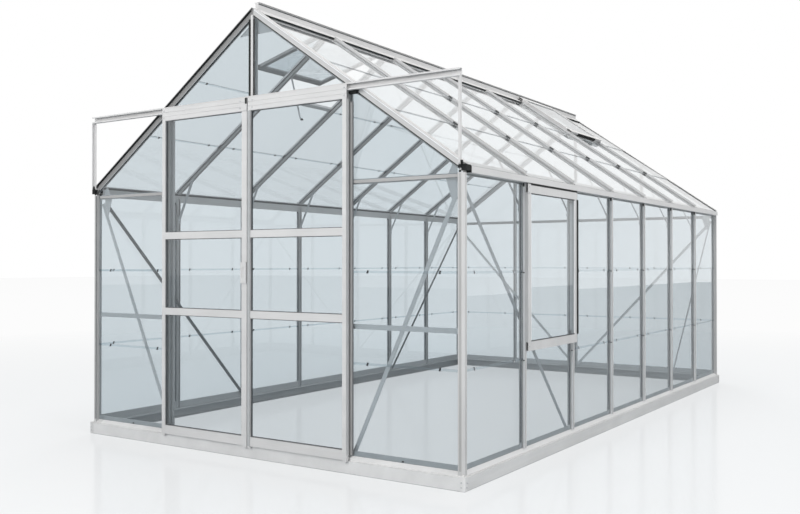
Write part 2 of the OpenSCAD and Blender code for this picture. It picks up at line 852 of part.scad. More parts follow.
// Angles that carry the track's ends, each with a bent foot on the verge rafter's face
module track_brackets() {
    x = track_half - bracket_w;
    face = verge_back - seat;
    color(frame_col) house() both_sides() translate([0, 0, roof_z]) {
        linear_extrude(track_z - seat - roof_z) polygon([
            [x, -seat], [x, -seat - wall_t], [track_half - wall_t, -seat - wall_t],
            [track_half - wall_t, -track_front], [track_half, -track_front],
            [track_half, -seat]
        ]);
        translate([x, 0, 0]) rotate([90, 0, 90]) linear_extrude(bracket_w) polygon([
            [-seat - wall_t, 0], [face, 0], [face, verge_up], [face - wall_t, verge_up],
            [face - wall_t, wall_t], [-seat - wall_t, wall_t]
        ]);
    }
}

// The right leaf, closed: between the house's middle and past its jamb
leaf_in = door_gap / 2;
leaf_out = jamb_x + door_lap;
leaf_z = base_h + door_gap;
board_z = track_z - board_drop;
stile_top = board_z - seat;
leaf_back = -door_back;
leaf_front = -door_back - door_d;

// A hollow member: its outline is width by depth, its face to the front
module tube_outline(width, depth) {
    difference() {
        square([width, depth]);
        translate([wall_t, wall_t]) square([width - 2 * wall_t, depth - 2 * wall_t]);
    }
}

module stile(x, width) {
    translate([x, leaf_front, leaf_z])
        linear_extrude(stile_top - leaf_z) tube_outline(width, door_d);
}

// Where a leaf's rails start, beside its meeting stile, and where they end
function rail_in(meet_w) = leaf_in + meet_w + seat;
rail_out = leaf_out - stile_w - seat;

module leaf_rail(z, height, meet_w) {
    translate([rail_in(meet_w), leaf_front, z]) rotate([90, 0, 90])
        linear_extrude(rail_out - rail_in(meet_w)) tube_outline(door_d, height);
}

// Ribbed board across the leaf's head, hanging in front of the track
rib_h = board_h / 3;
rib_d = board_t / 4;
board_outline = [
    [0, 0], [0, rib_h - rib_d], [rib_d, rib_h], [0, rib_h + rib_d], [0, 2 * rib_h - rib_d],
    [rib_d, 2 * rib_h], [0, 2 * rib_h + rib_d], [0, board_h], [board_t, board_h], [board_t, 0]
];

module leaf_frame(meet_w) {
    stile(leaf_in, meet_w);
    stile(leaf_out - stile_w, stile_w);
    leaf_rail(leaf_z, door_foot_h, meet_w);
    for (z = [door_rail_1_z, door_rail_2_z]) leaf_rail(z, door_rail_h, meet_w);
    translate([leaf_in, leaf_front, board_z]) rotate([90, 0, 90])
        linear_extrude(leaf_out - leaf_in) polygon(board_outline);
}

module leaf_glass(meet_w) {
    rows = [
        [leaf_z + door_foot_h, door_rail_1_z],
        [door_rail_1_z + door_rail_h, door_rail_2_z],
        [door_rail_2_z + door_rail_h, stile_top]
    ];
    for (row = rows)
        translate([rail_in(meet_w), leaf_front + door_d / 2, row[0] + seat])
            cube([rail_out - rail_in(meet_w), glass_t, row[1] - row[0] - 2 * seat]);
}

// A roller on its axle, running on the track's ledge
module roller(x) {
    axle = door_back + door_d - board_t - seat;
    hub = (track_front + seat + roller_w) / 2;
    translate([x, -hub + roller_w, track_z + wall_t + seat + roller_r]) rotate([90, 0, 0]) {
        cylinder(r = roller_r, h = roller_w);
        cylinder(r = roller_r / 3, h = axle - hub + roller_w);
    }
}

module leaf_rollers() {
    for (x = [leaf_in + board_h, leaf_out - board_h]) roller(x);
}

module right_door_frame() {
    color(frame_col) house() leaf_frame(right_meet_w);
}

module right_door_glass() {
    color(glass_col) house() leaf_glass(right_meet_w);
}

module right_door_rollers() {
    color(black_col) house() leaf_rollers();
}

module left_door_frame() {
    color(frame_col) house() mirror([1, 0, 0]) leaf_frame(left_meet_w);
}

module left_door_glass() {
    color(glass_col) house() mirror([1, 0, 0]) leaf_glass(left_meet_w);
}

module left_door_rollers() {
    color(black_col) house() mirror([1, 0, 0]) leaf_rollers();
}

// Plate with a hollowed finger grip on the left leaf's meeting stile
module left_door_handle() {
    grip = handle_d / 3;
    color(base_col) house()
        translate([-leaf_in - left_meet_w, leaf_front - handle_d, handle_z - handle_h / 2])
            difference() {
                cube([left_meet_w, handle_d - seat, handle_h]);
                translate([left_meet_w / 4, -over, handle_h / 4])
                    cube([left_meet_w / 2, over + grip, handle_h / 2]);
            }
}

// Side window and roof vents

// A sash of four members and a pane, lying on +Y, from the origin up
module sash_members(width, height) {
    for (x = [0, width - sash_w])
        translate([x, 0, sash_rail_h + seat])
            linear_extrude(height - 2 * sash_rail_h - 2 * seat) tube_outline(sash_w, sash_d);
    for (z = [0, height - sash_rail_h])
        translate([0, 0, z]) rotate([90, 0, 90]) linear_extrude(width)
            tube_outline(sash_d, sash_rail_h);
}

module sash_pane(width, height) {
    translate([sash_w + seat, sash_d / 2, sash_rail_h + seat])
        cube([width - 2 * sash_w - 2 * seat, glass_t, height - 2 * sash_rail_h - 2 * seat]);
}

sash_width = bay_pitch + bar_head_w;
window_h = gutter_z - 2 * seat - bar_head_t - window_z;

module in_window() {
    translate([
        wall_seat + bar_proud + seat,
        corner_margin + window_bay * bay_pitch + bar_head_w / 2, window_z
    ])
        rotate([0, 0, -90]) children();
}

module side_window_frame() {
    color(frame_col) house() in_window() sash_members(sash_width, window_h);
}

module side_window_glass() {
    color(glass_col) house() in_window() sash_pane(sash_width, window_h);
}

// Rails that close the wall behind the window's head and foot
module side_window_rails() {
    width = bay_pitch - bar_head_w - 2 * seat;
    from = corner_margin + (window_bay - 1) * bay_pitch + bar_head_w / 2 + seat;
    color(frame_col) house() for (z = [window_z, gutter_z - seat - rail_h])
        translate([wall_seat + seat, from, z]) rotate([90, 0, 0]) mirror([0, 0, 1])
            linear_extrude(width) tube_outline(bar_proud - seat, rail_h);
}

// The closed vent lies on the roof bars' heads with its hinge edge below the ridge's top
vent_s = ridge_top_w / 4;

module in_vent(bay, angle) {
    translate([
        roof_x(vent_s, bar_proud + seat), corner_margin + (bay - 1) * bay_pitch - bar_head_w / 2,
        roof_h(vent_s, bar_proud + seat)
    ])
        rotate([0, 90 + roof_pitch - angle, 0]) rotate([0, 0, 90]) children();
}

// Hinge rod between the ridge's wing and the sash's hinge edge
module vent_hinge(bay) {
    room = bar_proud + seat - ridge_wing_w - wall_t;
    w = bar_proud + seat - room / 2;
    translate([
        roof_x(vent_s, w), corner_margin + bay * bay_pitch + bar_head_w / 2, roof_h(vent_s, w)
    ])
        rotate([90, 0, 0]) cylinder(r = room / 2 - seat, h = sash_width);
}

module roof_vent_frames() {
    color(frame_col) house() {
        in_vent(right_vent, 0) sash_members(sash_width, vent_l);
        vent_hinge(right_vent);
        mirror([1, 0, 0]) {
            in_vent(left_vent_bay, vent_angle) sash_members(sash_width, vent_l);
            vent_hinge(left_vent_bay);
        }
    }
}

module roof_vent_glass() {
    color(glass_col) house() {
        in_vent(right_vent, 0) sash_pane(sash_width, vent_l);
        mirror([1, 0, 0]) in_vent(left_vent_bay, vent_angle) sash_pane(sash_width, vent_l);
    }
}

// Cross bars between two roof bars that carry a vent's foot
module vent_sill(bay) {
    width = bay_pitch - bar_head_w - 2 * seat;
    from = corner_margin + (bay - 1) * bay_pitch + bar_head_w / 2 + seat;
    on_slope(from, vent_sill_s) rotate([90, 0, 90])
        linear_extrude(width) translate([seat, 0]) tube_outline(bar_proud - seat, rail_h);
}

module vent_sills() {
    color(frame_col) house() {
        vent_sill(right_vent);
        mirror([1, 0, 0]) vent_sill(left_vent_bay);
    }
}

// A flat stay that hangs from the middle of each vent's foot
stay_l = 190;
stay_w = 14;

module vent_stays() {
    color(inner_col) house() mirror([1, 0, 0]) in_vent(left_vent_bay, vent_angle)
        translate([sash_width / 2 - stay_w / 2, -seat - stay_l, vent_l - sash_rail_h / 2])
            cube([stay_w, stay_l, brace_t]);
}

base_frame();
sill_frame();
corner_posts();
left_wall_bars();
right_wall_bars();
left_gutter();
right_gutter();
gutter_end_caps();
left_roof_bars();
right_roof_bars();
front_rafters();
back_rafters();
ridge_front();
ridge_rear();
front_gable_bars();
front_gable_rails();
back_gable_bars();
back_gable_rails();
side_wall_braces();
gable_braces();
knee_stays();
gusset_plates();
left_wall_glass();
right_wall_glass();
left_roof_glass();
right_roof_glass();
front_gable_glass();
back_gable_glass();
door_track();
track_brackets();
side_window_frame();
side_window_glass();
side_window_rails();
roof_vent_frames();
roof_vent_glass();
vent_sills();
vent_stays();
left_door_frame();
left_door_glass();
left_door_rollers();
left_door_handle();
right_door_frame();
right_door_glass();
right_door_rollers();
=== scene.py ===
"""Looks of the glass house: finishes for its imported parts, and the small pieces fixed to them."""

import logging
import math
from collections.abc import Callable, Iterator
from contextlib import contextmanager
from dataclasses import dataclass, replace
from enum import Enum

import bmesh
import bpy
from mathutils import Matrix, Vector


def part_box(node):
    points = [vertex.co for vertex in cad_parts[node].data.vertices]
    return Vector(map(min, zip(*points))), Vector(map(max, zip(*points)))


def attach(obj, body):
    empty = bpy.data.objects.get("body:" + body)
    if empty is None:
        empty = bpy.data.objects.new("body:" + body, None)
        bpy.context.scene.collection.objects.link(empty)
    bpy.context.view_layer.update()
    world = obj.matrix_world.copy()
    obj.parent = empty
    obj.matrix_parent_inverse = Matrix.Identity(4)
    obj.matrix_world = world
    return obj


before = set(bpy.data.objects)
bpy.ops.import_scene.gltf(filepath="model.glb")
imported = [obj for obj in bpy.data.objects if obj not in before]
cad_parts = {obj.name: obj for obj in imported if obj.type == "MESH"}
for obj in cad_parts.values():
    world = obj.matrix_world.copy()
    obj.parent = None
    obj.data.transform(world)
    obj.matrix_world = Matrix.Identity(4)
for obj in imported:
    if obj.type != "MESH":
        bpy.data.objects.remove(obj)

log = logging.getLogger("greenhouse")

Colour = tuple[float, float, float]
Point = tuple[float, float, float]
Span = tuple[float, float]
Piece = bpy.types.Object
Node = bpy.types.Node
Socket = bpy.types.NodeSocket
Tree = bpy.types.NodeTree

# Room between pieces that seat on each other, in metres
GAP = 0.0003
# Edges flatter than this are shaded smooth
SMOOTH_BELOW = math.radians(35.0)
MIRROR = Matrix.Diagonal((-1.0, 1.0, 1.0, 1.0))
BOTH_SIDES = [Matrix.Identity(4), MIRROR]
UPRIGHT = (0, 0, 1)
WHITE = (1.0, 1.0, 1.0)


class Body(Enum):
    """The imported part's bodies."""

    HOUSE = "house"
    LEFT_DOOR = "left_door"
    RIGHT_DOOR = "right_door"


class Slot(Enum):
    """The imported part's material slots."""

    FRAME = "frame_aluminium"
    STAY = "stay_aluminium"
    BASE = "base_aluminium"
    BLACK = "black_plastic"


class Grain(Enum):
    """Which way a profile was drawn, as the turn that lays its length along X."""

    ALONG_X = (0.0, 0.0, 0.0)
    ALONG_Y = (0.0, 0.0, -90.0)
    ALONG_Z = (0.0, 90.0, 0.0)
    RIGHT_SLOPE = (0.0, -35.0, 0.0)
    LEFT_SLOPE = (0.0, 35.0, 0.0)


class Side(Enum):
    """Left or right of the house's middle, as the sign of X."""

    LEFT = -1
    RIGHT = 1

    @property
    def word(self) -> str:
        """The side's word in the names of pieces."""
        return self.name.lower()


class End(Enum):
    """Front or back gable, as the sign of the outward Y."""

    FRONT = -1
    BACK = 1

    @property
    def word(self) -> str:
        """The gable's word in the names of pieces."""
        return self.name.lower()


# Modelling helpers


def past(line: float, span: Span) -> Span:
    """A span measured onwards from a line."""
    return line + span[0], line + span[1]


def short_of(line: float, span: Span) -> Span:
    """A span measured back from a line, with its low end first."""
    return line - span[1], line - span[0]


def choose(piece: Piece) -> None:
    """Makes a piece the active one and the only one selected."""
    bpy.ops.object.select_all(action="DESELECT")
    piece.select_set(True)
    bpy.context.view_layer.objects.active = piece


@contextmanager
def editing(piece: Piece) -> Iterator[None]:
    """Opens a piece in edit mode with everything on it selected."""
    choose(piece)
    bpy.ops.object.mode_set(mode="EDIT")
    bpy.ops.mesh.select_all(action="SELECT")
    yield
    bpy.ops.object.mode_set(mode="OBJECT")


def pick_edges(piece: Piece, wanted: Callable[[Vector, Vector], bool]) -> None:
    """Selects the edges of an open piece by their place.

    Args:
        piece: The mesh object, in edit mode.
        wanted: Takes an edge's two end points, and says whether it is selected.
    """
    bpy.ops.mesh.select_mode(type="EDGE")
    bpy.ops.mesh.select_all(action="DESELECT")
    mesh = bmesh.from_edit_mesh(piece.data)
    for edge in mesh.edges:
        edge.select_set(wanted(edge.verts[0].co, edge.verts[1].co))
    bmesh.update_edit_mesh(piece.data)


def pick_corners(piece: Piece, wanted: Callable[[Vector], bool]) -> None:
    """Selects the corner points of an open piece by their place, and the faces between them.

    Args:
        piece: The mesh object, in edit mode.
        wanted: Takes a point, and says whether it is selected.
    """
    bpy.ops.mesh.select_mode(type="VERT")
    bpy.ops.mesh.select_all(action="DESELECT")
    mesh = bmesh.from_edit_mesh(piece.data)
    for corner in mesh.verts:
        corner.select_set(wanted(corner.co))
    mesh.select_flush(True)
    bmesh.update_edit_mesh(piece.data)


def extrude_all(move: Point) -> None:
    """Extrudes all faces of the open piece by the given move."""
    bpy.ops.mesh.select_mode(type="FACE")
    bpy.ops.mesh.select_all(action="SELECT")
    bpy.ops.mesh.extrude_region_move(TRANSFORM_OT_translate={"value": move})


def settle(piece: Piece) -> Piece:
    """Puts a piece's place into its mesh, turns its faces outwards and smooths its round edges."""
    choose(piece)
    bpy.ops.object.transform_apply(location=True, rotation=True, scale=True)
    with editing(piece):
        bpy.ops.mesh.normals_make_consistent(inside=False)
    bpy.ops.object.shade_smooth_by_angle(angle=SMOOTH_BELOW)
    return piece


def flat_start(name: str, width: float, depth: float) -> Piece:
    """A level rectangle round the origin, ready to be shaped.

    Args:
        name: The new piece's name.
        width: Its size along X, in metres.
        depth: Its size along Y, in metres.

    Returns:
        The new object.
    """
    bpy.ops.mesh.primitive_plane_add(size=1.0, location=(0.0, 0.0, 0.0))
    piece = bpy.context.object
    piece.name = name
    with editing(piece):
        bpy.ops.transform.resize(value=(width, depth, 1.0))
    return piece


def bent_strip(name: str, width: float, path: list[Span], thick: float) -> Piece:
    """A strip of sheet bent along a path in the YZ plane, with its width along X.

    Args:
        name: The new piece's name.
        width: The strip's width, in metres.
        path: The bends, as (y, z).
        thick: The sheet's thickness, in metres.

    Returns:
        The new object.
    """
    far, near = 1.0, thick / 10
    piece = flat_start(name, width, 2 * far)
    with editing(piece):
        for end, (y, z) in zip((-far, far), path):
            pick_corners(piece, lambda at: at.y * end > far / 2)
            bpy.ops.transform.translate(value=(0.0, y - end, z))
        for (y, z), (y_next, z_next) in zip(path[1:], path[2:]):
            pick_edges(piece, lambda a, b: all(math.hypot(p.y - y, p.z - z) < near for p in (a, b)))
            step = (0.0, y_next - y, z_next - z)
            bpy.ops.mesh.extrude_edges_move(TRANSFORM_OT_translate={"value": step})
    choose(piece)
    sheet = piece.modifiers.new("sheet", "SOLIDIFY")
    sheet.thickness = thick
    sheet.offset = 0.0
    bpy.ops.object.modifier_apply(modifier=sheet.name)
    return settle(piece)


def pane_ring(name: str, width: float, height: float, band: float, depth: float) -> Piece:
    """A flat ring that lines an opening, in the XZ plane with its depth along +Y.

    Args:
        name: The new piece's name.
        width: Outer size along X, in metres.
        height: Outer size along Z, in metres.
        band: Width of the ring's band.
        depth: How far it stands out.

    Returns:
        The new object.
    """
    piece = flat_start(name, width, height)
    with editing(piece):
        bpy.ops.mesh.inset(thickness=band)
        bpy.ops.mesh.delete(type="FACE")
        extrude_all((0.0, 0.0, -depth))
    piece.data.transform(Matrix.Rotation(math.pi / 2, 4, "X"))
    return settle(piece)


def block(name: str, x: Span, y: Span, z: Span, edge: float) -> Piece:
    """A block with its edges taken off.

    Args:
        name: The new piece's name.
        x: From and to along X, in metres.
        y: From and to along Y.
        z: From and to along Z.
        edge: Width of the bevelled edges, or 0 to leave them sharp.

    Returns:
        The new object.
    """
    bpy.ops.mesh.primitive_cube_add(size=1.0, location=(0.0, 0.0, 0.0))
    piece = bpy.context.object
    piece.name = name
    low, high = (Vector(corner) for corner in zip(x, y, z))
    with editing(piece):
        bpy.ops.transform.resize(value=high - low)
        bpy.ops.transform.translate(value=(low + high) / 2)
        if edge > 0:
            bpy.ops.mesh.bevel(offset=edge, segments=1, affect="EDGES")
    return settle(piece)


def bolt(radius: float) -> Piece:
    """A hexagon bolt's head, looking along +Y.

    Args:
        radius: From the axis to the head's corners, in metres.

    Returns:
        The new object.
    """
    bpy.ops.mesh.primitive_cylinder_add(vertices=6, radius=radius, depth=radius, end_fill_type="NGON")
    piece = bpy.context.object
    with editing(piece):
        bpy.ops.transform.translate(value=(0.0, 0.0, radius / 2))
        pick_corners(piece, lambda at: at.z > radius / 2)
        bpy.ops.mesh.inset(thickness=radius / 4)
        bpy.ops.transform.translate(value=(0.0, 0.0, radius / 8))
    piece.data.transform(Matrix.Rotation(-math.pi / 2, 4, "X"))
    return settle(piece)


def joined(pieces: list[Piece], name: str) -> Piece:
    """Joins pieces that ride together into one object of the given name."""
    choose(pieces[0])
    for piece in pieces:
        piece.select_set(True)
    bpy.ops.object.join()
    pieces[0].name = name
    pieces[0].data.name = name
    return pieces[0]


def copies(piece: Piece, name: str, places: list[Matrix]) -> Piece:
    """Copies a piece to several places, each with its own mesh, as one object.

    Args:
        piece: The piece modelled at the origin, which is used up.
        name: The joined object's name.
        places: Where each copy goes.

    Returns:
        The joined object.
    """
    made = []
    for place in places:
        copy = piece.copy()
        copy.data = piece.data.copy()
        copy.data.transform(place)
        bpy.context.scene.collection.objects.link(copy)
        made.append(copy)
    bpy.data.objects.remove(piece)
    return joined(made, name)


def placed(origin: Point | Vector, out: Point | Vector, up: Point | Vector = UPRIGHT) -> Matrix:
    """A frame whose Y looks outwards and whose Z runs up.

    Args:
        origin: Where the frame stands.
        out: The outward direction.
        up: The direction along the bar or pane.

    Returns:
        The matrix that takes a piece from the origin to that frame.
    """
    y, z = Vector(out).normalized(), Vector(up).normalized()
    turn = Matrix((y.cross(z), y, z)).transposed().to_4x4()
    return Matrix.Translation(Vector(origin)) @ turn


# The house's own lines


@dataclass(frozen=True)
class HouseLines:
    """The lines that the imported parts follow, in metres and degrees."""

    corner_margin: float = 0.025
    side_bays: int = 7
    gable_bays: int = 4
    seat_in: float = 0.024
    roof_rise: float = 0.034
    roof_pitch: float = 35.0
    glass_thick: float = 0.003
    glass_lap: float = 0.012
    eave_pane: float = 0.525
    top_pane: float = 0.563
    wall_rows: int = 3
    glass_foot: float = 0.0833
    gutter_lip: float = 0.006
    bar_web: float = 0.004
    bar_proud: float = 0.021
    head_thick: float = 0.004
    bar_flange: float = 0.030
    bar_depth: float = 0.016
    window_bay: int = 2
    left_vent_bay: int = 2
    right_vent_bay: int = 6

    @property
    def half_width(self) -> float:
        """From the middle to the side walls' outer faces."""
        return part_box("corner_posts")[1].x

    @property
    def front(self) -> float:
        """Y of the front gable's outer face."""
        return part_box("corner_posts")[0].y

    @property
    def back(self) -> float:
        """Y of the back gable's outer face."""
        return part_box("corner_posts")[1].y

    @property
    def gutter_z(self) -> float:
        """Height of the gutters' undersides."""
        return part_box("corner_posts")[1].z

    @property
    def tilt(self) -> float:
        """The roof's slope in radians."""
        return math.radians(self.roof_pitch)

    @property
    def apex_z(self) -> float:
        """Height where both roof seats meet."""
        return self.gutter_z + self.roof_rise + self.half_width * math.tan(self.tilt)

    @property
    def bay(self) -> float:
        """Spacing of the bars."""
        return (self.back - self.front - 2 * self.corner_margin) / self.side_bays

    @property
    def bays(self) -> range:
        """Numbers of the bays along the house, from the front."""
        return range(1, self.side_bays + 1)

    @property
    def wall_bars(self) -> list[float]:
        """Y of the bars of a side wall and of a roof slope."""
        return [self.front + self.corner_margin + i * self.bay for i in range(1, self.side_bays)]

    @property
    def gable_bars(self) -> list[float]:
        """X of the bar lines of a gable."""
        return [i * self.bay for i in range(1 - self.gable_bays // 2, self.gable_bays // 2)]

    @property
    def gable_middles(self) -> list[float]:
        """X of the middles of a gable's bays."""
        return [(i + 0.5) * self.bay for i in range(-self.gable_bays // 2, self.gable_bays // 2)]

    @property
    def wall_laps(self) -> list[float]:
        """Heights of the feet of the wall panes that lap another."""
        height = self.gutter_z - self.glass_foot
        step = (height + (self.wall_rows - 1) * self.glass_lap) / self.wall_rows - self.glass_lap
        return [self.glass_foot + row * step for row in range(1, self.wall_rows)]

    @property
    def slope_end(self) -> float:
        """Distance down the slope to the lowest roof panes' ends."""
        return (self.half_width + self.gutter_lip) / math.cos(self.tilt) - self.glass_thick

    @property
    def roof_laps(self) -> Span:
        """How far down the slope the feet of the upper panes lie, low one first."""
        low = self.slope_end - self.eave_pane + self.glass_lap
        return low, self.top_pane + self.bar_web / math.cos(self.tilt)

    def bay_middle(self, bay: int) -> float:
        """Y of the middle of a bay."""
        return self.front + self.corner_margin + (bay - 0.5) * self.bay

    def vent_bay(self, side: Side) -> int:
        """The bay in which a roof slope has its vent."""
        return self.left_vent_bay if side is Side.LEFT else self.right_vent_bay

    def bay_laps(self, side: Side, bay: int) -> Span | tuple[float]:
        """The laps of a roof bay: only the low one where there is a vent above it."""
        return self.roof_laps[:1] if bay == self.vent_bay(side) else self.roof_laps

    def roof_height(self, x: float) -> float:
        """Height of the roof's glass seat over x."""
        return self.apex_z - abs(x) * math.tan(self.tilt)

    def on_wall(self, side: Side, y: float, z: float) -> Matrix:
        """A frame on a side wall's glass seat, Y outwards and Z up."""
        return placed((side.value * (self.half_width - self.seat_in), y, z), (side.value, 0, 0))

    def on_gable(self, end: End, x: float, z: float) -> Matrix:
        """A frame on a gable's glass seat, Y outwards and Z up."""
        face = self.front if end is End.FRONT else self.back
        return placed((x, face - end.value * self.seat_in, z), (0, end.value, 0))

    def on_roof(self, side: Side, y: float, down: float) -> Matrix:
        """A frame on a roof slope's glass seat, Y outwards and Z up the slope.

        Args:
            side: Which slope.
            y: Place along the house.
            down: Distance down the slope from the apex.

        Returns:
            The frame's matrix.
        """
        cos, sin = math.cos(self.tilt), math.sin(self.tilt)
        origin = (side.value * down * cos, y, self.apex_z - down * sin)
        return placed(origin, (side.value * sin, 0, cos), (-side.value * cos, 0, sin))


# Finishes


def feed(tree: Tree, node: Node, values: dict[str | int, object]) -> None:
    """Links or sets the inputs of a node.

    Args:
        tree: The node tree.
        node: The node.
        values: For each input, by name or number, a socket to link or a value to set.
    """
    for key, value in values.items():
        socket = node.inputs[key]
        if isinstance(value, Socket):
            tree.links.new(value, socket)
        else:
            socket.default_value = (*value, 1.0) if socket.type == "RGBA" else value


def add_node(tree: Tree, kind: str, values: dict[str | int, object], **settings: object) -> Node:
    """Adds a node to a tree.

    Args:
        tree: The node tree.
        kind: Blender's name of the node type.
        values: For each input, by name or number, a socket to link or a value to set.
        settings: The node's own settings.

    Returns:
        The new node.
    """
    node = tree.nodes.new(kind)
    for name, value in settings.items():
        setattr(node, name, value)
    feed(tree, node, values)
    return node


def maths(tree: Tree, kind: str, a: Socket | float, b: Socket | float) -> Socket:
    """The result of a Math node of two inputs."""
    return add_node(tree, "ShaderNodeMath", {0: a, 1: b}, operation=kind).outputs[0]


def weighed(tree: Tree, a: Socket, b: Socket, weights: Span) -> Socket:
    """The sum of two sockets, each times its weight."""
    return maths(tree, "ADD", maths(tree, "MULTIPLY", a, weights[0]), maths(tree, "MULTIPLY", b, weights[1]))


def blend_colours(
    tree: Tree, share: Socket, low: Socket | Colour, high: Socket | Colour, how: str = "MIX"
) -> Socket:
    """The result of a Mix node between two colours.

    Args:
        tree: The node tree.
        share: The socket that mixes them, from 0 to 1.
        low: The colour at 0.
        high: The colour at 1.
        how: Blender's name of the way they blend.

    Returns:
        The mixed colour's socket.
    """
    values = {"Factor": share, 6: low, 7: high}
    return add_node(tree, "ShaderNodeMix", values, data_type="RGBA", blend_type=how).outputs[2]


def mix_shaders(tree: Tree, share: Socket, low: Node, high: Node) -> Node:
    """A Mix Shader node from one shader at 0 to another at 1."""
    return add_node(tree, "ShaderNodeMixShader", {0: share, 1: low.outputs[0], 2: high.outputs[0]})


def seen_rays(tree: Tree, path: Node) -> Socket:
    """Whether a ray comes from the camera, straight or through glass."""
    return maths(tree, "MAXIMUM", path.outputs["Is Camera Ray"], path.outputs["Is Transmission Ray"])


@dataclass(frozen=True)
class Marks:
    """A shader node group that several finishes share: fine marks over soft clouds.

    Each pair of weights is for the marks and for the clouds.
    """

    name: str
    scales: Span
    stretches: tuple[Point, Point]
    colour_weights: Span
    colour_ramp: Span
    rough_weights: Span
    detail: float = 3.0
    relief: float = 0.35
    height: float = 0.0002

    def noise(self, tree: Tree, vector: Socket, scale: float, stretch: Point) -> Socket:
        """Noise in which each axis counts as much as the stretch says."""
        mapping = add_node(tree, "ShaderNodeMapping", {"Vector": vector, "Scale": stretch})
        values = {"Vector": mapping.outputs["Vector"], "Scale": scale, "Detail": self.detail}
        return add_node(tree, "ShaderNodeTexNoise", values).outputs["Fac"]

    def group(self) -> Tree:
        """The node group, built once."""
        if self.name in bpy.data.node_groups:
            return bpy.data.node_groups[self.name]
        tree = bpy.data.node_groups.new(self.name, "ShaderNodeTree")
        sockets = {
            "INPUT": {"Vector": "Vector", "Low": "Color", "High": "Color", "Rough": "Float"},
            "OUTPUT": {"Color": "Color", "Roughness": "Float", "Height": "Float"},
        }
        for way, kinds in sockets.items():
            for label, kind in kinds.items():
                tree.interface.new_socket(label, in_out=way, socket_type=f"NodeSocket{kind}")
        given = tree.nodes.new("NodeGroupInput").outputs
        fine, clouds = (
            self.noise(tree, given["Vector"], scale, stretch)
            for scale, stretch in zip(self.scales, self.stretches)
        )
        share = weighed(tree, fine, clouds, self.colour_weights)
        low, high = self.colour_ramp
        ramp = add_node(tree, "ShaderNodeMapRange", {"Value": share, "From Min": low, "From Max": high})
        colour = blend_colours(tree, ramp.outputs["Result"], given["Low"], given["High"])
        rough = maths(tree, "ADD", given["Rough"], weighed(tree, fine, clouds, self.rough_weights))
        add_node(tree, "NodeGroupOutput", {"Color": colour, "Roughness": rough, "Height": fine})
        return tree

    def place(
        self, tree: Tree, shader: Node, turn_deg: Point, low: Colour, high: Colour, rough: float
    ) -> Socket:
        """Places the marks in a material and feeds its Principled shader.

        Args:
            tree: The material's node tree.
            shader: Its Principled node.
            turn_deg: How the pattern is turned, in degrees.
            low: The colour at the pattern's low end.
            high: The colour at its high end.
            rough: The least roughness.

        Returns:
            The colour's socket.
        """
        where = add_node(tree, "ShaderNodeTexCoord", {})
        turn = tuple(math.radians(angle) for angle in turn_deg)
        mapping = add_node(tree, "ShaderNodeMapping", {"Vector": where.outputs["Object"], "Rotation": turn})
        values = {"Vector": mapping.outputs["Vector"], "Low": low, "High": high, "Rough": rough}
        marks = add_node(tree, "ShaderNodeGroup", values, node_tree=self.group()).outputs
        values = {"Strength": self.relief, "Distance": self.height, "Height": marks["Height"]}
        normal = add_node(tree, "ShaderNodeBump", values).outputs["Normal"]
        values = {"Base Color": marks["Color"], "Roughness": marks["Roughness"], "Normal": normal}
        feed(tree, shader, values)
        return marks["Color"]


DRAWN_LINES = Marks(
    "drawn_lines", scales=(900.0, 9.0), stretches=((0.004, 1.0, 1.0), (0.4, 1.0, 1.0)),
    colour_weights=(0.45, 0.55), colour_ramp=(0.36, 0.62), rough_weights=(0.0, 0.16),
)
MOULDED_PITS = Marks(
    "moulded_skin", scales=(650.0, 22.0), stretches=((1.0, 1.0, 1.0), (1.0, 1.0, 1.0)),
    colour_weights=(0.0, 1.0), colour_ramp=(0.0, 1.0), rough_weights=(0.2, 0.0),
)


@dataclass(frozen=True)
class Finish:
    """What a piece is made of."""

    name: str

    @property
    def label(self) -> str:
        """The material's name."""
        return self.name

    def material(self) -> bpy.types.Material:
        """The finish's material, built once."""
        if self.label not in bpy.data.materials:
            material = bpy.data.materials.new(self.label)
            material.use_nodes = True
            self.shade(material.node_tree, material.node_tree.nodes["Principled BSDF"])
        return bpy.data.materials[self.label]

    def shade(self, tree: Tree, shader: Node) -> None:
        """Fills the material's node tree round its Principled node."""
        raise NotImplementedError


@dataclass(frozen=True)
class DrawnAluminium(Finish):
    """Extruded aluminium with drawn lines along the profile, with painted shade to the left of left_edge."""

    tone: Colour
    dark: Colour
    rough: float
    metal: float
    grain: Grain = Grain.ALONG_X
    left_shade_share: float = 1.0
    left_edge: float = 0.0

    @property
    def label(self) -> str:
        """The material's name."""
        left = "_duller_left" if self.left_shade_share < 1.0 else ""
        return f"{self.name}_{self.grain.name.lower()}{left}"

    def along(self, grain: Grain, left_shade_share: float = 1.0) -> "DrawnAluminium":
        """The same metal drawn another way, with the share of the tone that its left side keeps under
        painted shade.
        """
        return replace(self, grain=grain, left_shade_share=left_shade_share)

    def shade(self, tree: Tree, shader: Node) -> None:
        """Drawn lines, and painted shade on the left side where there is one."""
        colour = DRAWN_LINES.place(tree, shader, self.grain.value, self.dark, self.tone, self.rough)
        feed(tree, shader, {"Metallic": self.metal})
        if self.left_shade_share < 1.0:
            # Painted shade: left of left_edge the colour is multiplied by the left side's share of the tone.
            where = add_node(tree, "ShaderNodeTexCoord", {})
            split = add_node(tree, "ShaderNodeSeparateXYZ", {"Vector": where.outputs["Object"]})
            left = maths(tree, "LESS_THAN", split.outputs["X"], self.left_edge)
            left_shade_tint = (self.left_shade_share, self.left_shade_share, self.left_shade_share)
            feed(tree, shader, {"Base Color": blend_colours(tree, left, colour, left_shade_tint, "MULTIPLY")})


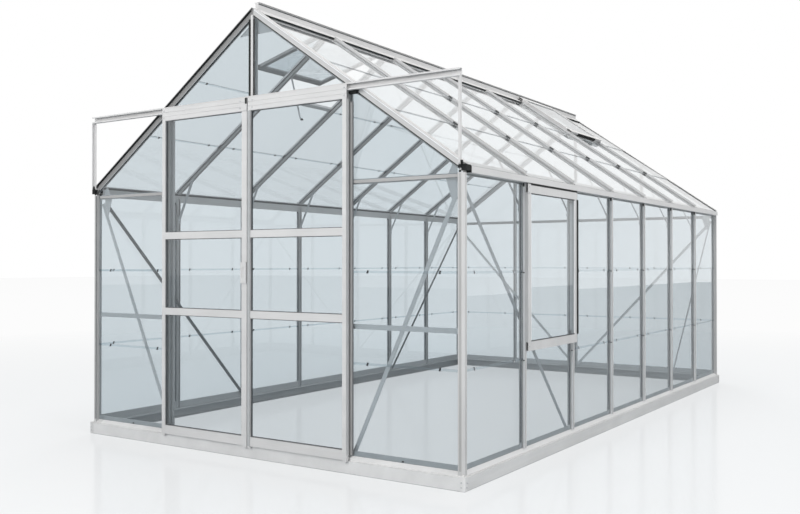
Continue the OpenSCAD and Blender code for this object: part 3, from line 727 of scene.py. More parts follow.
@dataclass(frozen=True)
class MouldedSkin(Finish):
    """Moulded plastic, rubber or dark steel with fine pits."""

    tone: Colour
    dust: Colour
    rough: float
    gloss: float = 0.5

    def shade(self, tree: Tree, shader: Node) -> None:
        """Fine pits and a soft mottling."""
        MOULDED_PITS.place(tree, shader, Grain.ALONG_X.value, self.tone, self.dust, self.rough)
        feed(tree, shader, {"Specular IOR Level": self.gloss})


@dataclass(frozen=True)
class PaneGlass(Finish):
    """Clear pane glass with a faint cool tint that drifts over the pane."""

    tint: Colour
    tint_far: Colour
    shadow: Colour
    bend: float = 1.45
    drift: float = 1.3

    def shade(self, tree: Tree, shader: Node) -> None:
        """Glass to the eye, and a clear filter to shadow rays."""
        where = add_node(tree, "ShaderNodeTexCoord", {})
        values = {"Vector": where.outputs["Object"], "Scale": self.drift}
        drift = add_node(tree, "ShaderNodeTexNoise", values).outputs["Fac"]
        tint = blend_colours(tree, drift, self.tint, self.tint_far)
        values = {"Base Color": tint, "Transmission Weight": 1.0, "Roughness": 0.0, "IOR": self.bend}
        feed(tree, shader, values)
        clear = add_node(tree, "ShaderNodeBsdfTransparent", {"Color": self.shadow})
        path = add_node(tree, "ShaderNodeLightPath", {})
        mix = mix_shaders(tree, path.outputs["Is Shadow Ray"], shader, clear)
        feed(tree, tree.nodes["Material Output"], {"Surface": mix.outputs[0]})


PALE = DrawnAluminium("pale_aluminium", (0.70, 0.69, 0.685), (0.62, 0.615, 0.61), 0.38, 0.2)
BRIGHT = DrawnAluminium("bright_aluminium", (0.90, 0.895, 0.89), (0.82, 0.815, 0.81), 0.38, 0.1)
STAY = DrawnAluminium("stay_aluminium", (0.68, 0.69, 0.70), (0.60, 0.61, 0.62), 0.40, 0.2)
# A darker tone; beside the jambs it paints shade.
DARKER_ALUMINIUM = DrawnAluminium("darker_aluminium", (0.46, 0.455, 0.45), (0.40, 0.395, 0.39), 0.42, 0.2)
BASE = DrawnAluminium("base_aluminium", (0.74, 0.735, 0.73), (0.66, 0.655, 0.65), 0.45, 0.15)
POST = DrawnAluminium("post_aluminium", (0.62, 0.615, 0.61), (0.55, 0.545, 0.54), 0.40, 0.2)
VERGE = DrawnAluminium("verge_aluminium", (0.60, 0.592, 0.588), (0.54, 0.535, 0.53), 0.38, 0.2)
# The sill gets painted shade left of x = -1.2, along the left wall.
SILL = DrawnAluminium(
    "sill_aluminium", (0.78, 0.775, 0.77), (0.70, 0.695, 0.69), 0.45, 0.1, Grain.ALONG_Y, 0.85, -1.2
)
PANE = PaneGlass("pane_glass", (0.775, 0.82, 0.845), (0.81, 0.85, 0.87), (0.63, 0.665, 0.69))
ROOF_PANE = PaneGlass("roof_pane_glass", (0.93, 0.955, 0.965), (0.95, 0.97, 0.975), (0.7, 0.715, 0.725), 1.5)
# Black plastic, and the colour of strips that paint shadow.
BLACK = MouldedSkin("moulded_black", (0.008, 0.009, 0.009), (0.024, 0.025, 0.025), 0.55, 0.3)
# Grey rubber, and the colour of strips that paint shadow.
RUBBER_AND_SHADOW = MouldedSkin("grey_rubber_and_shadow", (0.07, 0.075, 0.08), (0.12, 0.125, 0.13), 0.65)
SOFT_RUBBER = MouldedSkin("soft_rubber", (0.12, 0.125, 0.13), (0.18, 0.185, 0.19), 0.65)
# Pale rubber, and the colour of strips that paint shade.
PALE_RUBBER_AND_SHADE = MouldedSkin("pale_rubber_and_shade", (0.36, 0.37, 0.375), (0.45, 0.46, 0.465), 0.6)
ROOF_STRIP = MouldedSkin("grey_glazing_strip", (0.72, 0.725, 0.73), (0.78, 0.785, 0.79), 0.6)
# Pale glazing strip, and the colour of sheets that paint light.
GLAZING_STRIP_AND_LIGHT = MouldedSkin("pale_glazing_strip", (0.80, 0.805, 0.81), (0.86, 0.865, 0.87), 0.55)
DARK_SPRING = MouldedSkin("dark_spring_steel", (0.02, 0.021, 0.022), (0.05, 0.051, 0.052), 0.5)
BOLT_STEEL = MouldedSkin("bolt_steel", (0.46, 0.465, 0.47), (0.56, 0.565, 0.57), 0.35)


def dress(piece: Piece, finish: Finish, body: Body = Body.HOUSE) -> None:
    """Gives a new piece its finish and its body, and reports it.

    Args:
        piece: The finished mesh object.
        finish: What it is made of.
        body: The body that it rides on.
    """
    piece.data.materials.clear()
    piece.data.materials.append(finish.material())
    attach(piece, body.value)
    log.info("%s: %d faces on %s", piece.name, len(piece.data.polygons), body.value)


def spread(
    piece: Piece, name: str, places: list[Matrix], finish: Finish,
    body: Body = Body.HOUSE,
) -> None:
    """Copies a piece to its places and dresses the copies as one object.

    Args:
        piece: The piece modelled at the origin, which is used up.
        name: The joined object's name.
        places: Where each copy goes.
        finish: What it is made of.
        body: The body that it rides on.
    """
    dress(copies(piece, name, places), finish, body)


def on_both_sides(piece: Piece, name: str, finish: Finish) -> None:
    """Dresses a piece of the house and its mirror image on the left as one object.

    Args:
        piece: The piece modelled on the right, which is used up.
        name: The joined object's name.
        finish: What it is made of.
    """
    dress(settle(copies(piece, name, BOTH_SIDES)), finish, Body.HOUSE)


# Sub-assemblies


@dataclass
class PackedParts:
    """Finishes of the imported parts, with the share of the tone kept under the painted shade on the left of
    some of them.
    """

    # Shares of the tone kept on the house's left, where braces, verges and vent frames get painted shade.
    brace_left: float = 0.36
    verge_left_shade: float = 0.5
    vent_left: float = 0.5

    def finishes(self) -> dict[str, Finish]:
        """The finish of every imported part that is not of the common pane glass."""
        parts = {
            PALE: "back_gable_rails door_track left_door_frame right_door_frame",
            PALE.along(Grain.ALONG_Y):
                "left_gutter right_gutter ridge_front ridge_rear side_window_rails vent_sills",
            PALE.along(Grain.ALONG_Z):
                "left_wall_bars right_wall_bars front_gable_bars back_gable_bars track_brackets"
                " side_window_frame left_door_handle",
            PALE.along(Grain.RIGHT_SLOPE): "right_roof_bars back_rafters",
            PALE.along(Grain.LEFT_SLOPE): "left_roof_bars",
            PALE.along(Grain.ALONG_Y, self.vent_left): "roof_vent_frames",
            VERGE.along(Grain.RIGHT_SLOPE, self.verge_left_shade): "front_rafters",
            STAY.along(Grain.ALONG_Z): "knee_stays vent_stays",
            STAY.along(Grain.ALONG_Z, self.brace_left): "side_wall_braces",
            BRIGHT: "front_gable_rails gable_braces gusset_plates",
            BASE.along(Grain.ALONG_Y): "base_frame",
            SILL: "sill_frame",
            POST.along(Grain.ALONG_Z): "corner_posts",
            ROOF_PANE: "right_roof_glass",
            BLACK: "gutter_end_caps left_door_rollers right_door_rollers",
        }
        return {name: finish for finish, names in parts.items() for name in names.split()}

    def dress(self) -> None:
        """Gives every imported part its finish."""
        finishes = self.finishes()
        for name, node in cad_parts.items():
            finish = finishes.get(name, PANE)
            node.data.materials.clear()
            node.data.materials.append(finish.material())
            log.info("%s: %s", name, finish.label)


@dataclass
class GlazingSeals:
    """Strips between the panes and the heads of the bars, and dark ones behind the panes that are seals and
    painted shade.
    """

    lines: HouseLines
    width: float = 0.0045
    gable_width: float = 0.006
    king_width: float = 0.024
    inner_x: Span = (0.0153, 0.0190)
    inner_y: Span = (-0.0045, -0.0003)
    inner_foot: float = 0.112
    ridge_room: float = 0.075
    verge_room: float = 0.03
    foot: float = 0.0072
    sill_up: float = 0.021
    track_top: float = 1.897

    def strip(self, length: float, width: float) -> Piece:
        """One strip along Z beside a bar's web, with its outer corner cut off."""
        lines = self.lines
        top = lines.bar_proud - lines.head_thick - GAP
        piece = flat_start("seal_strip", width, top - self.foot)
        with editing(piece):
            shift = lines.bar_web / 2 + GAP + width / 2
            bpy.ops.transform.translate(value=(shift, (top + self.foot) / 2, 0.0))
            pick_corners(piece, lambda at: at.x > shift and at.y < self.foot + GAP)
            bpy.ops.mesh.bevel(offset=self.width / 2, segments=1, affect="VERTICES")
            extrude_all((0.0, 0.0, length))
        return settle(piece)

    def pair(self, length: float, width: float) -> Piece:
        """Two strips, one on each side of a bar's web."""
        return settle(copies(self.strip(length, width), "seal_pair", BOTH_SIDES))

    def build(self) -> None:
        """Seals on the bars of the walls, the roof and the gables."""
        lines = self.lines
        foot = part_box("base_frame")[1].z + self.sill_up + GAP
        low = lines.slope_end - lines.bar_depth - GAP
        for side in Side:
            walls = [lines.on_wall(side, y, foot) for y in lines.wall_bars]
            pair = self.pair(lines.gutter_z - foot - GAP, self.width)
            spread(pair, f"{side.word}_wall_seals", walls, GLAZING_STRIP_AND_LIGHT)
        for side in Side:
            slope = [lines.on_roof(side, y, low) for y in lines.wall_bars]
            pair = self.pair(low - self.ridge_room, self.width)
            spread(pair, f"{side.word}_roof_seals", slope, ROOF_STRIP)
        self.inner()
        self.gable(End.FRONT, [-lines.bay, lines.bay], foot, PALE_RUBBER_AND_SHADE)
        self.gable(End.BACK, lines.gable_bars, foot, GLAZING_STRIP_AND_LIGHT)
        self.king_bar()

    def inner(self) -> None:
        """Dark strips along both edges of the flanges, on the bars of the walls and of the left slope: seals
        that also paint the shade in the flanges' channels.
        """
        lines = self.lines
        foot, low = self.inner_foot, lines.slope_end - 3 * lines.bar_depth
        walls = [lines.on_wall(side, y, foot) for side in Side for y in lines.wall_bars]
        slope = [lines.on_roof(Side.LEFT, y, low) for y in lines.wall_bars]
        for name, length, places in (
            ("wall_inner_seals", lines.gutter_z - foot - lines.bar_depth, walls),
            ("roof_inner_seals", low - self.ridge_room, slope),
        ):
            # Seals, and painted shade in the flange's channel.
            strip = block("inner_seal", self.inner_x, self.inner_y, (0.0, length), GAP)
            spread(settle(copies(strip, "inner_pair", BOTH_SIDES)), name, places, RUBBER_AND_SHADOW)

    def gable(self, end: End, bars: list[float], foot: float, finish: MouldedSkin) -> None:
        """Seals on the bars of a gable, each up to the verge.

        Args:
            end: Which gable.
            bars: X of its bars.
            foot: Height of the strips' feet.
            finish: What the strips are made of.
        """
        lines = self.lines
        made = []
        for x in bars:
            top = lines.roof_height(abs(x) + lines.bar_web + self.gable_width) - self.verge_room
            pair = self.pair(top - foot, self.gable_width)
            made.append(copies(pair, "gable_seal", [lines.on_gable(end, x, foot)]))
        dress(joined(made, f"{end.word}_gable_seals"), finish)

    def king_bar(self) -> None:
        """Seals of the bar over the doors: a broad one at its left and a narrow one at its right."""
        lines = self.lines
        top = lines.roof_height(lines.bar_web + self.king_width) - self.verge_room
        length = top - self.track_top
        narrow = settle(copies(self.strip(length, self.gable_width), "narrow_seal", [MIRROR]))
        pair = joined([self.strip(length, self.king_width), narrow], "king_pair")
        spread(pair, "king_bar_seals", [lines.on_gable(End.FRONT, 0.0, self.track_top)], BLACK)


@dataclass
class RoofSeals:
    """Foam at the ridge with strips of painted shadow under its flanges, strips of painted light and shade
    along the verges, seals along the eaves, and a strip of painted shadow at the closed vent's foot.
    """

    lines: HouseLines
    wing: Span = (0.032, 0.0535)
    wing_under: Span = (0.0042, 0.0097)
    foam_edge: float = 0.001
    bar_room: float = 0.024
    nose_y: Span = (0.0034, 0.0136)
    nose_under: Span = (0.0022, 0.0070)
    face_y: Span = (0.0142, 0.0170)
    face_foot: Span = (-0.0262, -0.0223)
    verge_run: Span = (0.014, 1.525)
    verge_edge: float = 0.0005
    vent_end: float = 0.5688
    vent_seal: float = 0.002
    vent_under: Span = (0.012, 0.036)
    flange_shadow_x: Span = (0.0100, 0.0118)
    flange_shadow_under: Span = (0.0072, 0.0122)
    eave_in: Span = (0.0262, 0.0278)
    eave_under: Span = (0.0032, 0.0142)
    end_room: float = 0.001
    edge: float = 0.0004

    def build(self) -> None:
        """All seals of the roof, and its strips of painted light and shade."""
        self.ridge_foam()
        # The strips paint light and shade: the nose strip is black on the left, the shadow under the verge's
        # top flange, and pale on the right, where it is lit; the face strip is grey on the left, the shaded
        # face, and black on the right, the shade line under it.
        for seal, y, rise, finishes in (
            ("nose", self.nose_y, self.nose_under, (BLACK, GLAZING_STRIP_AND_LIGHT)),
            ("face", self.face_y, self.face_foot, (PALE_RUBBER_AND_SHADE, BLACK)),
        ):
            for side, finish in zip(Side, finishes):
                self.verges(f"{side.word}_verge_{seal}_seals", side, y, rise, finish)
        self.vent_foot()
        self.ridge_flange_shadows()
        self.eaves()

    def ridge_foam(self) -> None:
        """Foam under the ridge's wings, in every bay without a vent."""
        lines = self.lines
        half, reach = lines.bay / 2 - self.bar_room, (self.wing[1] - self.wing[0]) / 2
        foam = block("ridge_foam", (-half, half), self.wing_under, (-reach, reach), self.foam_edge)
        places = [
            lines.on_roof(side, lines.bay_middle(bay), sum(self.wing) / 2)
            for bay in lines.bays
            for side in Side
            if bay != lines.vent_bay(side)
        ]
        spread(foam, "ridge_foam", places, BLACK)

    def verges(self, name: str, side: Side, y: Span, rise: Span, finish: MouldedSkin) -> None:
        """One strip along the verges of a slope, at both gables; its colour paints the verge's light and
        shade on that slope.

        Args:
            name: The piece's name.
            side: Which slope.
            y: From and to, behind the gable's outer face.
            rise: From and to, above the roof's glass seat.
            finish: Their colour, which paints the verge's light and shade on that slope.
        """
        lines = self.lines
        half, middle = (y[1] - y[0]) / 2, (y[0] + y[1]) / 2
        top, foot = self.verge_run
        strip = block(name, (-half, half), rise, (0.0, foot - top), self.verge_edge)
        places = [lines.on_roof(side, at, foot) for at in (lines.front + middle, lines.back - middle)]
        spread(strip, name, places, finish)

    def vent_foot(self) -> None:
        """A black strip that paints the shadow gap along the foot of the closed vent."""
        lines = self.lines
        half, thick = lines.bay / 3 - self.bar_room, self.vent_seal
        # Painted shadow gap under the vent's foot rail.
        seal = block("vent_foot_seal", (-half, half), self.vent_under, (-thick, 0.0), thick / 4)
        place = lines.on_roof(Side.RIGHT, lines.bay_middle(lines.right_vent_bay), self.vent_end)
        spread(seal, "vent_foot_seal", [place], BLACK)

    def ridge_flange_shadows(self) -> None:
        """A dark strip that paints the shadow below the ridge's top flange, on both sides."""
        front, (_, top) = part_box("ridge_front")[0].y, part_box("ridge_rear")
        y = front + self.end_room, top.y - self.end_room
        # Painted shadow under the ridge's top flange.
        flange_shadow = block("ridge_flange_shadow", self.flange_shadow_x, y, short_of(top.z, self.flange_shadow_under), self.edge)
        on_both_sides(flange_shadow, "ridge_flange_shadows", RUBBER_AND_SHADOW)

    def eaves(self) -> None:
        """A dark seal along the head of both gutters' inner faces."""
        lines = self.lines
        low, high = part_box("left_gutter")
        x, y = short_of(lines.half_width, self.eave_in), (low.y + self.end_room, high.y - self.end_room)
        seal = block("eave_seal", x, y, short_of(lines.roof_height(x[1]), self.eave_under), self.edge)
        on_both_sides(seal, "eave_seals", RUBBER_AND_SHADOW)


@dataclass
class LapClips:
    """Spring clips at the laps and feet of the panes, strips at laps, and saddles on the bars."""

    lines: HouseLines
    width: float = 0.0075
    thick: float = 0.0012
    hook: float = 0.006
    foot_clip: Point = (0.010, 0.003, 0.009)
    from_bar: float = 0.11
    strip: float = 0.0012
    saddle_foot: float = 0.0075
    wall_saddle: Span = (0.0115, 0.009)
    lap_saddle: Span = (0.0105, 0.0025)
    roof_saddle: Span = (0.0105, 0.016)

    def clip(self) -> Piece:
        """One clip bent to an S: over the lower pane's head and under the upper pane's foot."""
        glass, lap, air = self.lines.glass_thick, self.lines.glass_lap, self.thick
        inner, between, outer = -air, glass + air / 2, 2 * glass + 2 * air
        path = [
            (inner, lap - self.hook), (inner, lap + air), (between, lap + air),
            (between, -air), (outer, -air), (outer, self.hook),
        ]
        return bent_strip("lap_clip", self.width, path, self.thick)

    def in_bay(self, middle: float) -> Span:
        """The places of a pane's two clips along its foot."""
        reach = self.lines.bay / 2 - self.from_bar
        return middle - reach, middle + reach

    def build(self) -> None:
        """Clips and strips of the walls, the gables and the roof."""
        lines = self.lines
        for side, open_bay, finish in (
            (Side.LEFT, None, DARK_SPRING), (Side.RIGHT, lines.window_bay, BOLT_STEEL)
        ):
            places = [
                lines.on_wall(side, y, z)
                for bay in lines.bays if bay != open_bay
                for y in self.in_bay(lines.bay_middle(bay))
                for z in lines.wall_laps
            ]
            spread(self.clip(), f"{side.word}_wall_clips", places, finish)
        self.gables()
        self.left_slope()
        self.right_slope()
        self.on_bars()

    def gables(self) -> None:
        """Clips at the laps of both gables, and at the feet of the front panes."""
        lines = self.lines
        middles = lines.gable_middles
        beside_doors = [middles[0], middles[-1]]
        for end, held in ((End.FRONT, beside_doors), (End.BACK, middles)):
            places = [
                lines.on_gable(end, x, z)
                for middle in held
                for x in self.in_bay(middle)
                for z in lines.wall_laps
            ]
            spread(self.clip(), f"{end.word}_gable_clips", places, DARK_SPRING)
        wide, deep, tall = self.foot_clip
        y = past(lines.glass_thick + self.thick / 4, (0.0, deep))
        foot = block("foot_clip", (-wide / 2, wide / 2), y, (tall / 3, tall), self.thick / 2)
        places = [lines.on_gable(End.FRONT, x, lines.glass_foot) for x in beside_doors]
        spread(foot, "front_foot_clips", places, DARK_SPRING)

    def left_slope(self) -> None:
        """Clips at the laps of the left roof slope."""
        lines = self.lines
        places = [
            lines.on_roof(Side.LEFT, y, down)
            for bay in lines.bays
            for y in self.in_bay(lines.bay_middle(bay))
            for down in lines.bay_laps(Side.LEFT, bay)
        ]
        spread(self.clip(), "left_roof_clips", places, DARK_SPRING)

    def right_slope(self) -> None:
        """Pale strips along the feet of the right slope's upper panes."""
        lines, thick = self.lines, self.strip
        half = lines.bay / 2 - lines.bar_flange / 2
        y = lines.glass_thick + thick, 2 * lines.glass_thick + thick
        strip = block("lap_strip", (-half, half), y, (-thick, -thick / 4), thick / 5)
        places = [
            lines.on_roof(Side.RIGHT, lines.bay_middle(bay), down)
            for bay in lines.bays
            for down in lines.bay_laps(Side.RIGHT, bay)
        ]
        spread(strip, "lap_strips", places, GLAZING_STRIP_AND_LIGHT)

    def on_bars(self) -> None:
        """Saddles at the heads and laps of the wall bars, and at the laps of the roof bars."""
        lines = self.lines
        low, high = lines.roof_laps
        eave = lines.gutter_z - self.wall_saddle[1] - self.thick
        bars = [(side, y) for side in Side for y in lines.wall_bars]
        heads = [lines.on_wall(side, y, eave) for side, y in bars]
        laps = [lines.on_wall(side, y, z) for side, y in bars for z in lines.wall_laps]
        roof = [lines.on_roof(side, y, low) for side, y in bars]
        for side in Side:
            beside_vent = (lines.vent_bay(side) - 1, lines.vent_bay(side))
            free = [y for i, y in enumerate(lines.wall_bars, 1) if i not in beside_vent]
            roof += [lines.on_roof(side, y, high) for y in free]
        y = self.saddle_foot, lines.bar_proud - lines.head_thick - self.thick / 4
        for name, (half, reach), places, finish in (
            ("wall_bar_clips", self.wall_saddle, heads, DARK_SPRING),
            ("wall_lap_clips", self.lap_saddle, laps, DARK_SPRING),
            ("roof_bar_clips", self.roof_saddle, roof, RUBBER_AND_SHADOW),
        ):
            saddle = block("bar_clip", (-half, half), y, (-reach, reach), self.thick)
            spread(saddle, name, places, finish)


@dataclass
class GutterCaps:
    """Moulded caps over the gutters' front ends, each with a claw for the track's bracket."""

    lines: HouseLines
    face_x: Span = (1.262, 1.2905)
    face_y: Span = (0.0005, 0.0136)
    flank_back: float = 0.0420
    foot_up: float = 0.008
    height: float = 0.0285
    claw_x: Span = (1.2495, 1.266)
    claw_y: Span = (-0.0125, 0.0068)
    claw_rise: Span = (0.012, 0.046)
    claw_taper: float = 0.45
    claw_lean: float = 0.004
    toe_x: Span = (1.2505, 1.263)
    edge: float = 0.0015

    def build(self) -> None:
        """Both caps, the left one mirrored."""
        lines, edge = self.lines, self.edge
        front, foot = lines.front, lines.gutter_z + self.foot_up
        top = foot + self.height
        y = past(front, self.face_y)
        face = block("cap_face", self.face_x, y, (foot, top), edge)
        x = lines.half_width + GAP, self.face_x[1]
        flank = block("cap_flank", x, (y[1], front + self.flank_back), (foot, top - edge), edge / 2)
        z = lines.gutter_z + edge / 2, foot + edge
        toe = block("cap_toe", self.toe_x, (front - edge, front + edge), z, edge / 2)
        z = past(foot, self.claw_rise)
        claw = block("cap_claw", self.claw_x, past(front, self.claw_y), z, edge)
        with editing(claw):
            pick_corners(claw, lambda at: at.z > sum(z) / 2)
            hinge = (self.claw_x[1], 0.0, 0.0)
            bpy.ops.transform.resize(value=(self.claw_taper, 1.0, 1.0), center_override=hinge)
            bpy.ops.transform.translate(value=(self.claw_lean, 0.0, 0.0))
        on_both_sides(joined([face, flank, toe, claw], "gutter_cap"), "gutter_caps", BLACK)


@dataclass
class DoorLeaf:
    """Gaskets, painted shade on a meeting stile, stile ends and bolts of one sliding leaf."""

    lines: HouseLines
    side: Side
    body: Body
    meet_width: float
    inner_x: float = 0.003
    stile: float = 0.024
    lap: float = 0.018
    foot_z: float = 0.116
    rails: Span = (0.733, 1.154)
    rail: float = 0.038
    board: Span = (1.817, 1.885)
    face_y: float = -0.030
    pane_y: Span = (-0.020, -0.017)
    gasket: float = 0.003
    gasket_deep: float = 0.0045
    cover: float = 0.0035
    stile_top: float = 1.853
    foot_drop: float = 0.011
    foot_round: float = 0.6
    foot_y: Span = (-0.0298, -0.0160)
    bolt_radius: float = 0.0035

    @property
    def name(self) -> str:
        """The leaf's name, which its pieces' names start with."""
        return self.body.value

    @property
    def pane_x(self) -> Span:
        """Where the panes start and end, away from the house's middle."""
        outer = self.lines.bay + self.lap - self.stile - GAP
        return self.inner_x + self.meet_width + GAP, outer

    def build(self) -> None:
        """All pieces of the leaf."""
        self.gaskets()
        if self.side is Side.RIGHT:
            self.meeting_seal()
        else:
            self.stile_head()
        self.stile_feet()
        self.board_bolts()

    def across(self, x: Span) -> list[float]:
        """A span measured away from the house's middle, as low and high X."""
        return sorted(self.side.value * value for value in x)

    def gaskets(self) -> None:
        """Rubber rings before and behind the three panes."""
        start, end = self.pane_x
        feet = (self.foot_z, *(rail + self.rail for rail in self.rails))
        heads = (*self.rails, self.board[0])
        before, behind = self.pane_y[0] - GAP, self.pane_y[1] + GAP
        made = []
        for low, high in zip(feet, heads):
            width, height = end - start - 2 * GAP, high - low - 4 * GAP
            ring = pane_ring("pane_gasket", width, height, self.gasket, self.gasket_deep)
            x, z = self.side.value * (start + end) / 2, (low + high) / 2
            places = [
                placed((x, self.lines.front + y, z), (0, out, 0)) for y, out in ((before, -1), (behind, 1))
            ]
            made.append(copies(ring, "pane_gasket", places))
        dress(joined(made, f"{self.name}_gaskets"), SOFT_RUBBER, self.body)

    def face_strip(self, name: str, x: Span, z: Span) -> Piece:
        """A flat strip on the leaf's front.

        Args:
            name: The piece's name.
            x: From and to, away from the house's middle.
            z: From and to.

        Returns:
            The new object.
        """
        face = self.lines.front + self.face_y - GAP
        return block(name, self.across(x), (face - self.cover, face), z, self.cover / 3)

    def meeting_seal(self) -> None:
        """A grey strip that paints the shade on the right leaf's recessed meeting stile."""
        x = self.inner_x + GAP, self.inner_x + self.meet_width - GAP
        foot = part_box(f"{self.name}_frame")[0].z
        # Painted shade on the recessed meeting stile.
        strip = self.face_strip("right_door_meeting_seal", x, (foot, self.board[0]))
        dress(strip, PALE_RUBBER_AND_SHADE, self.body)

    def stile_head(self) -> None:
        """The left leaf's meeting stile laps the board, with a dark block above it."""
        x = self.inner_x + GAP, self.inner_x + self.meet_width
        head = self.face_strip("left_door_stile_head", x, (self.board[0], self.stile_top))
        dress(head, PALE.along(Grain.ALONG_Z), self.body)
        x = self.inner_x + GAP, self.inner_x + self.meet_width / 3
        stop = self.face_strip("left_door_stop", x, (self.stile_top + GAP, self.board[1]))
        dress(stop, BLACK, self.body)

    def stile_feet(self) -> None:
        """Rounded feet of both stiles, a little below the bottom rail."""
        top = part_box(f"{self.name}_frame")[0].z
        outer = self.lines.bay + self.lap
        y, z = past(self.lines.front, self.foot_y), (top - self.foot_drop, top)
        feet = []
        for x in ((self.inner_x, self.inner_x + self.meet_width), (outer - self.stile, outer)):
            foot = block("stile_foot", self.across(x), y, z, 0.0)
            with editing(foot):
                low = z[0] + GAP
                pick_edges(foot, lambda a, b: a.z < low and b.z < low and abs(a.x - b.x) < GAP)
                bpy.ops.mesh.bevel(offset=self.foot_drop * self.foot_round, segments=3, affect="EDGES")
            feet.append(settle(foot))
        dress(joined(feet, f"{self.name}_stile_feet"), PALE.along(Grain.ALONG_Z), self.body)

    def board_bolts(self) -> None:
        """Bolts near both ends of the top board."""
        face, middle = self.lines.front + self.face_y, sum(self.board) / 2
        places = [
            placed((self.side.value * (x + self.stile / 2), face, middle + rise), (0, -1, 0))
            for x in self.pane_x
            for rise in (-self.rail / 2, self.rail / 2)
        ]
        spread(bolt(self.bolt_radius), f"{self.name}_bolts", places, BOLT_STEEL, self.body)


@dataclass
class DoorJambs:
    """Cover strips on the jambs, the front posts and the eave rails, and a stop under the track."""

    lines: HouseLines
    strip_x: Span = (0.0095, 0.0250)
    strip_y: Span = (0.0080, 0.0165)
    seal: float = 0.0045
    strip_top: float = 1.806
    stop_x: Span = (0.0120, 0.0640)
    stop_y: Span = (-0.0030, 0.0165)
    stop_z: Span = (1.842, 1.8575)
    post_strip_in: Span = (0.0122, 0.0240)
    post_seal_in: Span = (0.0240, 0.0298)
    post_thick: float = 0.0008
    rail_x: Span = (0.0305, 0.0375)
    rail_under: Span = (0.0040, 0.0200)
    rail_out: float = 0.0005
    rail_thick: float = 0.0015

    @property
    def foot(self) -> float:
        """Height of the upright strips' feet."""
        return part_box("base_frame")[1].z + self.lines.bar_proud + self.seal

    def build(self) -> None:
        """All strips, and the stop."""
        self.posts()
        self.rail_covers()
        self.jambs()
        self.track_stop()

    def posts(self) -> None:
        """A darker strip down the front of each front post, and a dark seal on the left post."""
        lines, thick = self.lines, self.post_thick
        y, z = (lines.front - thick, lines.front), (self.foot, lines.gutter_z - self.seal)
        strip = block("post_strip", short_of(lines.half_width, self.post_strip_in), y, z, thick / 4)
        on_both_sides(strip, "post_strips", DARKER_ALUMINIUM.along(Grain.ALONG_Z))
        dress(block("left_post_seal", past(-lines.half_width, self.post_seal_in), y, z, thick / 4), RUBBER_AND_SHADOW)

    def rail_covers(self) -> None:
        """A strip outside the panes along each front eave rail, from the jamb to the post."""
        lines, thick = self.lines, self.rail_thick
        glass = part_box("front_gable_glass")[0].y - self.rail_out
        x = lines.bay + self.rail_x[0], lines.half_width - self.rail_x[1]
        z = short_of(lines.gutter_z, self.rail_under)
        strip = block("rail_cover", x, (glass - thick, glass), z, thick / 4)
        on_both_sides(strip, "front_rail_covers", DARKER_ALUMINIUM)

    def jambs(self) -> None:
        """A darker strip beside each jamb that paints the shade there, with a rubber seal along its edge."""
        seal = self.seal
        x, y = past(self.lines.bay, self.strip_x), past(self.lines.front, self.strip_y)
        z = self.foot, self.strip_top
        # Painted shade beside the jamb.
        cover = block("jamb_cover", x, y, z, seal / 4)
        edge = block("jamb_seal", (x[1], x[1] + seal), (y[0] + seal / 2, y[1]), z, seal / 6)
        on_both_sides(cover, "jamb_covers", DARKER_ALUMINIUM.along(Grain.ALONG_Z))
        on_both_sides(edge, "jamb_seals", SOFT_RUBBER)

    def track_stop(self) -> None:
        """The dark stop under the track's right end, with its outer end sloped."""
        x, y = past(self.lines.bay, self.stop_x), past(self.lines.front, self.stop_y)
        stop = block("track_stop", x, y, self.stop_z, self.seal / 3)
        low, outer = self.stop_z[0] + self.seal, self.lines.bay + self.stop_x[1] / 2
        with editing(stop):
            pick_corners(stop, lambda at: at.z < low and at.x > outer)
            bpy.ops.transform.translate(value=(-self.stop_x[0], 0.0, 0.0))
        dress(settle(stop), BLACK)


@dataclass
class VentStay:
    """The hooked lower end of the open vent's stay, with its dark tip."""

    length: float = 0.094
    width: float = 0.012
    thick: float = 0.003
    hook: float = 0.007
    tip: Point = (0.008, 0.007, 0.009)

    def build(self) -> None:
        """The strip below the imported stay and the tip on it."""
        corners = [corner.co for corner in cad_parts["vent_stays"].data.vertices]
        heights = [corner.z for corner in corners]
        middle = (min(heights) + max(heights)) / 2
        lower = [corner for corner in corners if corner.z < middle]
        upper = [corner for corner in corners if corner.z > middle]
        low, high = (sum(half, Vector()) / len(half) for half in (lower, upper))
        up = (high - low).normalized()
        place = placed(low, Vector((0.0, 1.0, 0.0)).cross(up), up)
        end = -self.length - self.hook
        path = [
            (0.0, -GAP - self.thick), (0.0, -self.length), (self.hook / 2, end), (2 * self.hook, end),
        ]
        strip = bent_strip("stay_strip", self.width, path, self.thick)
        spread(strip, "vent_stay_end", [place], STAY.along(Grain.ALONG_Z))
        wide, deep, tall = self.tip
        y, z = past(self.thick, (0.0, 2 * deep)), past(end - self.thick, (-tall, 0.0))
        tip = block("stay_tip", (-wide, wide), y, z, self.thick / 2)
        spread(tip, "vent_stay_tip", [place], DARK_SPRING)


